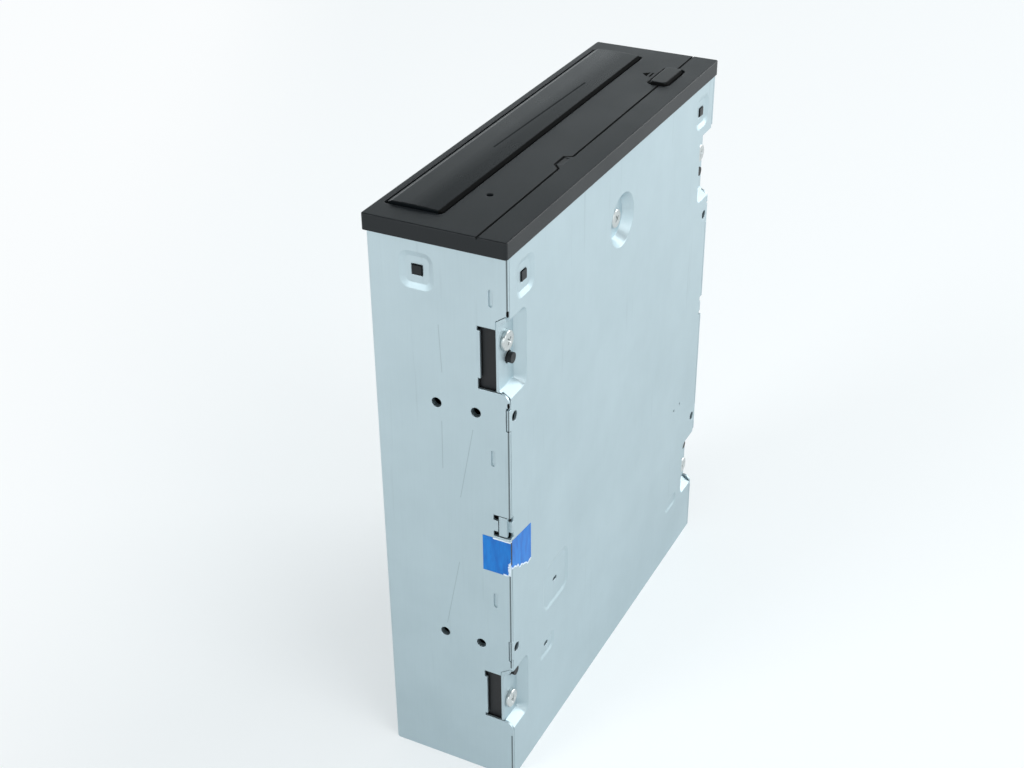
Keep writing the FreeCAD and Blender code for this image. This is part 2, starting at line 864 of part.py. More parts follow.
def bottom_cover():
    """Steel bottom plate, pressed in at the corners and at the middle of the front for its screws."""
    body = new_body("bottom_cover")
    wall = size.sheet_wall
    edge = inner_half - size.cover_seam
    lip = half_width - size.cover_seam / 2
    pad(body, "plate", "flat", bottom, floor_inside, rect(-edge, edge, 0, front))
    pad(body, "rear_lip", "across", 0, wall, rect(-edge, edge, floor_inside, bottom + size.rear_lip_height))
    outside = []
    inside = []
    for setback, length in ((size.front_recess_setback, size.front_recess_length),
                            (size.rear_recess_setback, size.rear_recess_length)):
        for sign in (-1, 1):
            x_in = sign * size.recess_reach
            x_wall = sign * (size.recess_reach - wall)
            x_out = sign * beyond / 1.8
            low = front - setback - length
            high = front - setback
            u_low, u_high = (x_out, x_in) if sign < 0 else (x_in, x_out)
            outside.append(rect(u_low, u_high, low, high, size.recess_corner))
            u_low, u_high = (x_out, x_wall) if sign < 0 else (x_wall, x_out)
            inside.append(rect(u_low, u_high, low - wall, high + wall, size.recess_corner + wall / 2))
    dish_z = front - size.dish_setback
    outside.append(disc(0, dish_z, size.dish_radius))
    inside.append(disc(0, dish_z, size.dish_radius + wall))
    inset = [shrunk(loop, recess_run) for loop in inside]
    pad(body, "recess_backs", "flat", floor_inside, recess_roof, *inset, taper=size.recess_slope)
    pocket(body, "recesses", "flat", bottom, bottom + size.recess_depth, *outside, taper=-size.recess_slope)
    tabs = []
    hook_middle = front - size.hook_setback - size.hook_length / 2
    for sign in (-1, 1):
        inner_x = sign * (edge - wall)
        lip_x = sign * lip
        u_low, u_high = (lip_x, inner_x) if sign < 0 else (inner_x, lip_x)
        for z in mount_rows:
            tabs.append(rect(u_low, u_high, z - size.side_tab_length / 2 + size.cover_seam,
                             z + size.side_tab_length / 2 - size.cover_seam))
    pad(body, "side_tabs", "flat", bottom, floor_inside, *tabs)
    for side, sign in (("left", -1), ("right", 1)):
        low, high = (-edge, -edge + wall) if sign < 0 else (edge - wall, edge)
        pad(body, f"{side}_hook_web", "side", low, high,
            rect(floor_inside, bottom + size.hook_tab_high, hook_middle - size.hook_web_length / 2,
                 hook_middle + size.hook_web_length / 2))
        low, high = (-lip, -edge) if sign < 0 else (edge, lip)
        pad(body, f"{side}_hook", "side", low, high,
            rect(bottom + size.hook_tab_low, bottom + size.hook_tab_high,
                 hook_middle - size.hook_tab_length / 2, hook_middle + size.hook_tab_length / 2))
    pocket(body, "left_trim", "flat", bottom - wall, recess_roof + wall, rect(-beyond, -lip, -wall, front))
    pocket(body, "right_trim", "flat", bottom - wall, recess_roof + wall, rect(lip, beyond, -wall, front))
    foot = edge - size.hook_foot_notch
    hook_high = hook_middle + size.hook_length / 2
    hook_low = hook_middle - size.hook_length / 2
    notches = []
    for low, high in ((hook_low, hook_low + size.hook_notch), (hook_high - size.hook_notch, hook_high)):
        notches += [rect(-beyond, -foot, low, high), rect(foot, beyond, low, high)]
    pocket(body, "hook_notches", "flat", bottom - wall, floor_inside, *notches)
    steps = []
    for setback in (size.front_window_setback + size.front_window_length,
                    size.rear_window_setback + size.rear_window_length):
        step_top = front - setback + size.cover_seam
        step_low = step_top - size.wall_corner * 2
        steps += [rect(-beyond, -edge, step_low, step_top), rect(edge, beyond, step_low, step_top)]
    pocket(body, "wall_steps", "flat", bottom - wall, recess_roof + wall, *steps)
    pad_z = front - size.pad_setback
    second_z = front - size.second_oval_setback
    dimple_z = front - size.dimple_setback
    emboss(body, "latch_pads", "flat", bottom, 1, size.latch_depth,
           *[rect(sign * size.bottom_latch_offset - size.latch_pad_width / 2,
                  sign * size.bottom_latch_offset + size.latch_pad_width / 2,
                  latch_z - size.latch_pad_length / 2, latch_z + size.latch_pad_length / 2,
                    size.latch_pad_corner)
             for sign in (-1, 1)], slope=size.press_slope)
    emboss(body, "marks", "flat", bottom, 1, size.emboss_depth,
           rect(-size.pad_offset - size.pad_width / 2, -size.pad_offset + size.pad_width / 2,
                pad_z - size.pad_length / 2, pad_z + size.pad_length / 2, 2.5),
           rect(-size.second_oval_offset - size.dimple_length / 2,
                -size.second_oval_offset + size.dimple_length / 2,
                second_z - size.dimple_width, second_z + size.dimple_width / 2, size.dimple_width * 0.4),
           rect(size.dimple_offset - size.dimple_length / 2, size.dimple_offset + size.dimple_length / 2,
                dimple_z - size.dimple_width / 2, dimple_z + size.dimple_width / 2,
                size.dimple_width * 0.4), slope=size.press_slope)
    holes = [disc(sign * size.bottom_hole_offset, z, size.mount_hole) for sign in (-1, 1) for z in mount_rows]
    holes += [disc(x, z, size.cover_screw_shank + size.slip) for x, z in screw_spots]
    holes += [disc(x, z, size.peg_radius + size.slip) for x, z in peg_spots]
    holes.append(disc(0, dish_z, size.cover_screw_shank + size.slip))
    for step in (0, 1):
        holes.append(disc(size.pin_hole_offset - step * size.pin_hole_pitch,
                          front - size.pin_hole_setback, size.pin_hole))
    for x, z in ((-size.pad_offset, pad_z), (-size.second_oval_offset, second_z)):
        holes.append(rect(x - size.oval_length / 2, x + size.oval_length / 2,
                          z - size.oval_width / 2, z + size.oval_width / 2, size.oval_width * 0.45))
    for sign in (-1, 1):
        x = sign * size.bottom_latch_offset
        holes.append(rect(x - size.latch_window_width / 2, x + size.latch_window_width / 2,
                          latch_z - size.latch_window_length / 2, latch_z + size.latch_window_length / 2))
    pocket(body, "holes", "flat", bottom - wall, recess_roof + wall, *holes)


def shrunk(loop, amount):
    """The loop moved inwards all round by an amount."""
    if isinstance(loop, types.SimpleNamespace):
        return disc(loop.u, loop.v, loop.radius - amount)
    (u_low, v_low, radius), _, (u_high, v_high, _), _ = loop
    if number(as_size(amount)) < 0:
        radius = radius - amount
    return rect(u_low + amount, u_high - amount, v_low + amount, v_high - amount, radius)


def cover_screws():
    """Flat-headed screws through the bottom cover into the chassis."""
    screws = []
    spots = [*screw_spots, (0, front - size.dish_setback)]
    for i, (x, z) in enumerate(spots):
        seat = bottom + size.recess_depth
        head = rod(f"cover_head_{i}", "y", size.cover_screw_head, x, seat - size.cover_screw_flange, z,
                   size.cover_screw_flange)
        shank = rod(f"cover_shank_{i}", "y", size.cover_screw_shank, x, seat - size.cover_screw_flange / 2, z,
                    size.cover_screw_length)
        screws.append(fuse(f"cover_screw_{i}", [head, shank]))
    keep(group("cover_screw_group", screws), "cover_screws")


def front_bezel():
    """Moulded front with the tray opening, the button's hole, the light window and its latches."""
    body = new_body("front_bezel")
    half = size.bezel_width / 2
    high = size.bezel_height / 2
    face = pad(body, "face", "across", front, bezel_front, rect(-half, half, -high, high, size.bezel_corner))
    doc.recompute()
    rim = [f"Edge{i}" for i, edge in enumerate(face.Shape.Edges, 1)
           if edge.BoundBox.ZMin > number(bezel_front) - 1e-4]
    rounding = body.newObject("PartDesign::Fillet", "front_edges")
    rounding.Base = (face, rim)
    bind(rounding, "Radius", size.bezel_edge)
    skirt_x = inner_half - size.slip
    skirt_y = roof_inside - size.slip
    wall = size.skirt_wall
    pad(body, "skirt", "across", front - size.skirt_length, front,
        rect(-skirt_x, skirt_x, -skirt_y, skirt_y, 1.5),
        rect(-skirt_x + wall, skirt_x - wall, -skirt_y + wall, skirt_y - wall, 1))
    latch_y = bottom + size.side_latch_rise
    arm_low = latch_z - size.latch_window_length / 2
    for side, sign in (("left", -1), ("right", 1)):
        inner = sign * (skirt_x - size.latch_depth - size.latch_arm_wall)
        outer = sign * (skirt_x - size.latch_depth)
        low, up = (outer, inner) if sign < 0 else (inner, outer)
        pad(body, f"{side}_arm", "side", low, up,
            rect(latch_y - size.latch_arm_width / 2, latch_y + size.latch_arm_width / 2, arm_low, front))
        tip = sign * (half_width - size.slip)
        low, up = (tip, outer) if sign < 0 else (outer, tip)
        pad(body, f"{side}_nub", "side", low, up,
            rect(latch_y - size.latch_window_width / 2 + size.slip,
                 latch_y + size.latch_window_width / 2 - size.slip,
                 arm_low + size.slip, latch_z + size.latch_window_length / 2 - size.slip))
        x = sign * size.bottom_latch_offset
        arm_face = -skirt_y + size.latch_depth
        pad(body, f"{side}_lower_arm", "flat", arm_face, arm_face + size.latch_arm_wall,
            rect(x - size.latch_arm_width / 2, x + size.latch_arm_width / 2, arm_low, front))
        pad(body, f"{side}_lower_nub", "flat", bottom + size.slip, arm_face,
            rect(x - size.latch_window_width / 2 + size.slip, x + size.latch_window_width / 2 - size.slip,
                 arm_low + size.slip, latch_z + size.latch_window_length / 2 - size.slip))
    pocket(body, "tray_opening", "across", front - size.skirt_length, bezel_front,
           rect(-size.door_opening_half, size.door_opening_half, size.door_opening_low,
                size.door_opening_high, size.opening_corner))
    button_half = size.button_length / 2 + size.button_gap
    button_rise = size.button_width / 2 + size.button_gap
    window = size.lens_length / 2 + size.slip / 4
    lens_x = -(size.jog_top_left + size.jog_top_right) / 2
    lens_y = -size.groove_level + size.jog_rise / 2
    pocket(body, "small_openings", "across", front, bezel_front,
           rect(size.button_middle - button_half, size.button_middle + button_half,
                -size.button_level - button_rise, -size.button_level + button_rise, size.button_corner),
           rect(lens_x - window, lens_x + window, lens_y - size.lens_height / 2 - size.slip / 4,
                lens_y + size.lens_height / 2 + size.slip / 4),
           disc(-size.pinhole_offset, -size.pinhole_level, size.pinhole_radius))
    dish = size.button_dish + size.button_gap
    pocket(body, "button_dish", "across", bezel_front - size.button_dish, bezel_front,
           rect(size.button_middle - size.button_length / 2 - dish,
                size.button_middle + size.button_length / 2 + dish,
                -size.button_level - size.button_width / 2 - dish,
                -size.button_level + size.button_width / 2 + dish, size.button_corner + 0.5))
    gw = size.groove_width
    level = -size.groove_level
    rise = level + size.jog_rise
    pocket(body, "groove", "across", bezel_front - size.groove_depth, bezel_front, [
        (-half - 1, level - gw / 2),
        (-size.jog_left, level - gw / 2),
        (-size.jog_top_left, rise - gw / 2),
        (-size.jog_top_right, rise - gw / 2),
        (-size.jog_right, level - gw / 2),
        (half + 1, level - gw / 2),
        (half + 1, level + gw / 2),
        (-size.jog_right, level + gw / 2),
        (-size.jog_top_right, rise + gw / 2),
        (-size.jog_top_left, rise + gw / 2),
        (-size.jog_left, level + gw / 2),
        (-half - 1, level + gw / 2),
    ])


def tray_door():
    """Crowned door on the front of the tray, with a bevel along its upper edge and clips behind."""
    body = new_body("tray_door")
    half = size.door_opening_half - size.door_gap
    low = size.door_opening_low + size.door_gap
    high = size.door_opening_high - size.door_gap
    back = front + size.slip
    brow = high - size.door_bevel
    outline = [
        (low, back),
        (low, bezel_front),
        (low + size.door_crown, bezel_front + size.door_proud - size.door_crown / 2, size.door_edge),
        ((low + brow) / 2, bezel_front + size.door_proud, size.door_crown_radius),
        (brow, bezel_front + size.door_proud - size.door_crown / 4, 0.5),
        (high, bezel_front),
        (high, back),
    ]
    pad(body, "crowned_block", "side", -half, half, outline)
    wall = size.door_wall
    pocket(body, "hollow", "across", back, bezel_front - wall,
           rect(-half + wall, half - wall, low + wall, high - wall, 1))
    clips = [rect(
        sign * size.clip_offset - size.clip_width / 2, sign * size.clip_offset + size.clip_width / 2,
        tray_clip_low(), tray_clip_low() + size.clip_height) for sign in (-1, 0, 1)]
    pad(body, "clips", "across", front - size.tray_front_back, bezel_front - wall, *clips)
    pocket(body, "corner_trim", "across", back - 1, bezel_front + size.door_proud + 1,
           rect(-half - 2, half + 2, low - 2, high + 2), rect(-half, half, low, high, size.door_corner))


def tray_clip_low():
    return size.tray_under + size.slip


def eject_button():
    """Push button, held behind the bezel by its flange, with a stem that reaches the switch."""
    body = new_body("eject_button")
    x = size.button_middle
    y = -size.button_level
    half = size.button_length / 2
    rise = size.button_width / 2
    travel = size.button_travel + size.slip
    flange_top = front - size.button_wear
    pad(body, "flange", "across", flange_top - size.button_flange_wall, flange_top,
        rect(x - half - size.button_flange, x + half + size.button_flange, y - rise - size.button_flange,
             y + rise + size.button_flange, size.button_corner))
    cap_top = bezel_front + size.button_proud
    cap = pad(body, "cap", "across", flange_top, cap_top,
              rect(x - half, x + half, y - rise, y + rise, size.button_corner))
    doc.recompute()
    rim = [f"Edge{i}" for i, edge in enumerate(cap.Shape.Edges, 1)
           if edge.BoundBox.ZMin > number(cap_top) - 1e-4]
    rounding = body.newObject("PartDesign::Fillet", "cap_edge")
    rounding.Base = (cap, rim)
    bind(rounding, "Radius", size.button_dish)
    board_front = front - size.front_board_back + size.front_board_wall
    plunger_top = board_front + size.switch_height + travel
    pad(body, "stem", "across", plunger_top + size.button_wear, flange_top, disc(x, y, size.button_stem))


def led_lens():
    """Clear light guide from the indicator to the window of the bezel."""
    body = new_body("led_lens")
    x = -(size.jog_top_left + size.jog_top_right) / 2
    y = -size.groove_level + size.jog_rise / 2
    half = size.lens_length / 2
    rise = size.lens_height / 2
    led_top = front - size.front_board_back + size.front_board_wall + size.led_height
    pad(body, "guide", "across", led_top + size.slip / 2, bezel_front - size.lens_sink,
        rect(x - half, x + half, y - rise, y + rise))
    pad(body, "lens_flange", "across", front - size.lens_flange - size.slip / 4, front - size.slip / 4,
        rect(x - half - size.lens_flange, x + half + size.lens_flange, y - rise - size.lens_flange,
             y + rise + size.lens_flange))


def seal_label():
    """Thin label, left blank, folded over the corner from the left wall to the bottom cover."""
    wall = size.label_wall
    side_top = front - size.label_setback
    side = box("label_side", -half_width - wall, -half_width, bottom - wall, bottom + size.label_side_height,
               side_top - size.label_side_length, side_top)
    under = box("label_under", -half_width - wall, -half_width + size.label_bottom_width, bottom - wall,
                bottom, side_top - size.label_bottom_length, side_top)
    keep(fuse("label_sheet", [side, under]), "seal_label")


def loader_chassis():
    """Black plastic frame that carries the tray, the gears, the traverse and the covers' screws."""
    body = new_body("loader_chassis")
    web = size.chassis_half_width - size.chassis_web
    deck_top = size.front_deck_top
    deck_low = deck_top - size.front_deck_wall
    chassis_front = front - size.chassis_front_back
    foot = recess_roof
    pad(body, "front_deck", "flat", deck_low, deck_top,
        rect(-web, web, size.front_deck_start, chassis_front))
    rail_top = size.chassis_rail_top
    ledge_top = size.runner_under - size.runner_slip
    ledge_low = ledge_top - size.ledge_wall
    for side, sign in (("left", -1), ("right", 1)):
        outline = [
            (sign * web, foot),
            (sign * size.chassis_half_width, foot),
            (sign * size.chassis_half_width, rail_top, 0.8),
            (sign * size.groove_wall_inner, rail_top),
            (sign * size.groove_wall_inner, ledge_top),
            (sign * size.ledge_inner, ledge_top),
            (sign * size.ledge_inner, ledge_low),
            (sign * size.groove_wall_outer, ledge_low),
            (sign * size.groove_wall_outer, rail_top - size.rail_roof),
            (sign * web, rail_top - size.rail_roof),
        ]
        pad(body, f"{side}_rail", "across", size.chassis_rear, chassis_front, outline)
        u_low, u_high = (-size.groove_wall_inner, -size.guide_inner)
        if sign > 0:
            u_low, u_high = (size.guide_inner, size.groove_wall_inner)
        for i, middle in enumerate((
                chassis_front - size.guide_length, size.case_depth / 2 + size.guide_length,
                size.chassis_rear + size.guide_length)):
            pad(body, f"{side}_guide_{i}", "across", middle - size.guide_length / 2,
                middle + size.guide_length / 2, rect(u_low, u_high, size.guide_under, rail_top))
        lug_in = sign * size.hinge_lug_inner
        lug_out = sign * (size.hinge_lug_inner + size.hinge_lug_wall)
        low, high = (lug_out, lug_in) if sign < 0 else (lug_in, lug_out)
        pad(body, f"{side}_hinge_lug", "side", low, high, [
            (size.rear_deck_top, hinge_z - size.hinge_lug_radius - 1.4),
            (size.rear_deck_top, hinge_z + size.hinge_lug_radius),
            (size.hinge_level - size.hinge_lug_radius, hinge_z + size.hinge_lug_radius,
             size.hinge_lug_radius - 0.1),
            (size.hinge_level - size.hinge_lug_radius, hinge_z - size.hinge_lug_radius,
             size.hinge_lug_radius - 0.1),
        ])
    pad(body, "rear_deck", "flat", size.rear_deck_top - size.rear_deck_wall, size.rear_deck_top,
        rect(-size.groove_wall_outer, size.groove_wall_outer, size.chassis_rear, size.rear_deck_end))
    front_bosses = [disc(x, z, size.screw_boss) for x, z in screw_spots if z.value > disc_z.value]
    rear_bosses = [disc(x, z, size.screw_boss) for x, z in screw_spots if z.value < disc_z.value]
    dish_z = front - size.dish_setback
    pad(body, "front_bosses", "flat", foot, deck_low, *front_bosses, disc(0, dish_z, size.centre_boss))
    pad(body, "rear_bosses", "flat", foot, foot + size.rear_boss_height, *rear_bosses)
    for side, sign in (("left", -1), ("right", 1)):
        peg_z = front - size.rear_peg_setback
        near, far = sign * size.peg_offset, sign * web
        u_low, u_high = (far, near) if sign < 0 else (near, far)
        pad(body, f"{side}_peg_rib", "flat", foot, foot + size.rear_boss_height,
            rect(u_low, u_high, peg_z - size.tray_rib / 2, peg_z + size.tray_rib / 2))
    pegs = [disc(x, z, size.peg_radius) for x, z in peg_spots]
    pad(body, "pegs", "flat", bottom + size.recess_depth - size.peg_proud, deck_low, *pegs)
    pad(body, "drive_post", "flat", deck_top, size.pinion_high - size.slip,
        disc(drive_x, drive_z, size.drive_post))
    pad(body, "pulley_post", "flat", deck_top, size.small_high - size.slip,
        disc(pulley_x, pulley_z, size.pulley_post))
    pad(body, "drive_shoulder", "flat", deck_top, size.wheel_low - size.slip / 2,
        disc(drive_x, drive_z, size.drive_post + size.rail_roof))
    pad(body, "pulley_shoulder", "flat", deck_top, size.pulley_low - size.slip / 2,
        disc(pulley_x, pulley_z, size.pulley_post + size.rail_roof))
    cam_flange_front = size.cam_back + size.cam_wall + size.cam_flange_reach + size.cam_wall
    flange_top = deck_top + size.slip / 2 + size.cam_flange_wall
    lugs = []
    roofs = []
    for x in (-size.cam_half_width + size.cam_middle, size.cam_middle):
        lugs.append(rect(x - size.guide_lug_width / 2, x + size.guide_lug_width / 2,
                         cam_flange_front + size.slip, cam_flange_front + size.slip + size.guide_lug_wall))
        roofs.append(rect(x - size.guide_lug_width / 2, x + size.guide_lug_width / 2,
                          cam_flange_front - size.guide_lug_wall,
                          cam_flange_front + size.slip + size.guide_lug_wall))
    pad(body, "cam_guides", "flat", deck_top, flange_top + size.slip, *lugs)
    pad(body, "cam_guide_roofs", "flat", flange_top + size.slip,
        flange_top + size.slip + size.guide_lug_wall, *roofs)
    board_x = (-size.front_board_left + size.guide_lug_width, size.front_board_right - size.guide_lug_width)
    board_back = front - size.front_board_back
    pad(body, "board_posts", "across", chassis_front, board_back,
        *[rect(x - size.guide_lug_width / 2, x + size.guide_lug_width / 2, deck_low, deck_top)
          for x in board_x])
    screw_hole = size.cover_screw_shank + size.shaft_slip
    pocket(body, "screw_holes", "flat", foot, foot + size.cover_screw_length,
           *[disc(x, z, screw_hole) for x, z in screw_spots], disc(0, dish_z, screw_hole))
    pocket(body, "motor_hole", "flat", deck_low, deck_top,
           disc(motor_x, motor_z, size.motor_boss + size.slip))
    pocket(body, "hinge_bores", "side", -half_width, half_width,
           disc(size.hinge_level, hinge_z, size.hinge_pin + size.hinge_slip))
    collar_room = [disc(bottom + rise, z, size.mount_hole + size.collar_wall + size.slip)
                   for rise in (size.side_hole_low, size.side_hole_high) for z in mount_rows]
    pocket(body, "left_collar_room", "side", -half_width, -web, *collar_room)
    pocket(body, "right_collar_room", "side", web, half_width, *collar_room)
    latch_y = bottom + size.side_latch_rise
    pad_side = inner_half - size.latch_depth - size.slip
    pad_reach = size.latch_depth * sine(size.press_slope) / cosine(size.press_slope) + size.slip
    pad_room = rect(
        latch_y - size.latch_pad_width / 2 - pad_reach, latch_y + size.latch_pad_width / 2 + pad_reach,
        latch_z - size.latch_pad_length / 2 - pad_reach, chassis_front + 1)
    pocket(body, "left_pad_room", "side", -half_width, -pad_side, pad_room)
    pocket(body, "right_pad_room", "side", pad_side, half_width, pad_room)
    arm_low = latch_z - size.latch_window_length / 2 - 1
    pocket(body, "latch_room", "side", -half_width, half_width,
           rect(latch_y - size.latch_arm_width / 2 - size.slip, latch_y + size.latch_arm_width,
                arm_low, chassis_front + 1))


# Shape of every gear tooth: the pressure angle, and how far it reaches over and under the pitch line
# in modules.
PRESSURE_ANGLE = math.radians(20)
ADDENDUM = 0.95
DEDENDUM = 1.2


def gear_outline(teeth, module, backlash, phase):
    """Outline of a gear about the origin, in the plane seen along Y, as one wire of arcs.

    A tooth points along the phase angle. Each flank is an arc through three points of the involute.
    """
    pitch = module * teeth / 2
    base = pitch * math.cos(PRESSURE_ANGLE)
    tip = pitch + ADDENDUM * module
    root = pitch - DEDENDUM * module
    start = max(base, root)
    half_tooth = math.pi / (2 * teeth) - backlash / (2 * pitch)
    roll_pitch = math.sqrt(pitch ** 2 - base ** 2) / base
    lead = roll_pitch - math.atan(roll_pitch)

    def flank(radius, middle, side):
        roll = math.sqrt(max(radius ** 2 - base ** 2, 0)) / base
        angle = middle + side * (half_tooth + lead - roll + math.atan(roll))
        return spot(radius, angle)

    def spot(radius, angle):
        return Vector(radius * math.cos(angle), 0, radius * math.sin(angle))

    edges = []
    step = 2 * math.pi / teeth
    for i in range(teeth):
        middle = phase + i * step
        root_angle = half_tooth + lead
        low_in = spot(root, middle - root_angle)
        low_out = spot(root, middle + root_angle)
        in_start = flank(start, middle, -1)
        in_tip = flank(tip, middle, -1)
        out_start = flank(start, middle, 1)
        out_tip = flank(tip, middle, 1)
        between = (start + tip) / 2
        if start > root:
            edges.append(Part.LineSegment(low_in, in_start).toShape())
        edges.append(Part.Arc(in_start, flank(between, middle, -1), in_tip).toShape())
        edges.append(Part.Arc(in_tip, spot(tip, middle), out_tip).toShape())
        edges.append(Part.Arc(out_tip, flank(between, middle, 1), out_start).toShape())
        if start > root:
            edges.append(Part.LineSegment(out_start, low_out).toShape())
        next_in = spot(root, middle + step - root_angle)
        edges.append(Part.Arc(low_out, spot(root, middle + step / 2), next_in).toShape())
    return Part.Wire(edges)


def gear_solid(teeth, module, backlash, phase, low, high):
    face = Part.Face(gear_outline(teeth, module, backlash, phase))
    solid = face.extrude(Vector(0, high - low, 0))
    solid.translate(Vector(0, low, 0))
    return solid


def drum(radius, low, high):
    return Part.makeCylinder(radius, high - low, Vector(0, low, 0), Vector(0, 1, 0))


def feature(label, shape, x=0, y=0, z=0):
    piece = doc.addObject("Part::Feature", label)
    piece.Shape = shape
    bind(piece, "Placement.Base.x", x)
    bind(piece, "Placement.Base.y", y)
    bind(piece, "Placement.Base.z", z)
    return keep(piece, label)


def tray_drive_gear():
    """Wheel driven by the pulley gear, with the tray's pinion on top of it, in one moulding."""
    module = sheet.gear_module
    backlash = sheet.gear_backlash
    towards_pulley = math.radians(sheet.pulley_angle)
    wheel = gear_solid(int(sheet.wheel_teeth), module, backlash, towards_pulley,
                       sheet.wheel_low, sheet.wheel_high)
    pinion = gear_solid(int(sheet.pinion_teeth), module, backlash, 0, sheet.wheel_high, sheet.pinion_high)
    bore = drum(sheet.drive_post + sheet.bore_slip, sheet.wheel_low, sheet.pinion_high)
    feature("tray_drive_gear", wheel.fuse(pinion).cut(bore), drive_x, 0, drive_z)


def pulley_gear():
    """Belt pulley with the small gear that turns the drive gear."""
    module = sheet.gear_module
    facing = math.radians(sheet.pulley_angle) + math.pi
    half_step = math.pi / sheet.small_teeth
    small = gear_solid(int(sheet.small_teeth), module, sheet.gear_backlash, facing + half_step,
                       sheet.pulley_high, sheet.small_high)
    pulley = grooved_pulley(sheet.pulley_radius, sheet.pulley_low, sheet.pulley_high)
    bore = drum(sheet.pulley_post + sheet.bore_slip, sheet.pulley_low, sheet.small_high)
    feature("pulley_gear", pulley.fuse(small).cut(bore), pulley_x, 0, pulley_z)


def grooved_pulley(radius, low, high):
    """Pulley turned from its profile, with a square groove for the belt."""
    groove = sheet.pulley_groove
    middle = (low + high) / 2
    half = sheet.belt_width / 2 + sheet.belt_slip
    profile = [(0, low), (radius, low), (radius, middle - half), (radius - groove, middle - half),
               (radius - groove, middle + half), (radius, middle + half), (radius, high), (0, high), (0, low)]
    wire = Part.makePolygon([Vector(r, y, 0) for r, y in profile])
    return Part.Face(wire).revolve(Vector(), Vector(0, 1, 0), 360)


def motor_pulley():
    pulley = grooved_pulley(sheet.motor_pulley_radius, sheet.pulley_low, sheet.pulley_high)
    bore = drum(sheet.pulley_bore, sheet.pulley_low, sheet.pulley_high)
    feature("motor_pulley", pulley.cut(bore), motor_x, 0, motor_z)


def drive_belt():
    """Flat rubber belt round both pulleys, in their grooves: two arcs and two tangent runs."""
    slip = sheet.belt_slip
    middle = (sheet.pulley_low + sheet.pulley_high) / 2
    big = Vector(pulley_x.value, 0, pulley_z.value)
    small = Vector(motor_x.value, 0, motor_z.value)
    span = small - big
    heading = math.atan2(span.z, span.x)

    def loop(inset):
        big_radius = sheet.pulley_radius - inset
        small_radius = sheet.motor_pulley_radius - inset
        lean = math.acos((big_radius - small_radius) / span.Length)

        def at(centre, radius, angle):
            return centre + Vector(radius * math.cos(angle), 0, radius * math.sin(angle))

        upper = heading + lean
        lower = heading - lean
        return Part.Wire([
            Part.Arc(at(big, big_radius, upper), at(big, big_radius, heading + math.pi),
                     at(big, big_radius, lower)).toShape(),
            Part.LineSegment(at(big, big_radius, lower), at(small, small_radius, lower)).toShape(),
            Part.Arc(at(small, small_radius, lower), at(small, small_radius, heading),
                     at(small, small_radius, upper)).toShape(),
            Part.LineSegment(at(small, small_radius, upper), at(big, big_radius, upper)).toShape(),
        ])

    lift = Vector(0, middle - sheet.belt_width / 2, 0)
    outer = Part.Face(loop(0))
    inner = Part.Face(loop(sheet.pulley_groove - slip))
    outer.translate(lift)
    inner.translate(lift)
    along = Vector(0, sheet.belt_width, 0)
    feature("drive_belt", outer.extrude(along).cut(inner.extrude(along)))


def loading_motor():
    """Small can motor hung under the front deck, its shaft carrying the pulley."""
    deck_low = size.front_deck_top - size.front_deck_wall
    can = rod("motor_can", "y", size.loading_motor_radius, motor_x, size.loading_motor_low, motor_z,
              deck_low - size.loading_motor_low)
    boss = rod("motor_boss", "y", size.motor_boss, motor_x, deck_low, motor_z, size.motor_boss_height)
    shaft = rod("motor_shaft", "y", size.pulley_bore, motor_x, deck_low, motor_z,
                size.pulley_high - deck_low)
    keep(fuse("loading_motor_body", [can, boss, shaft]), "loading_motor")


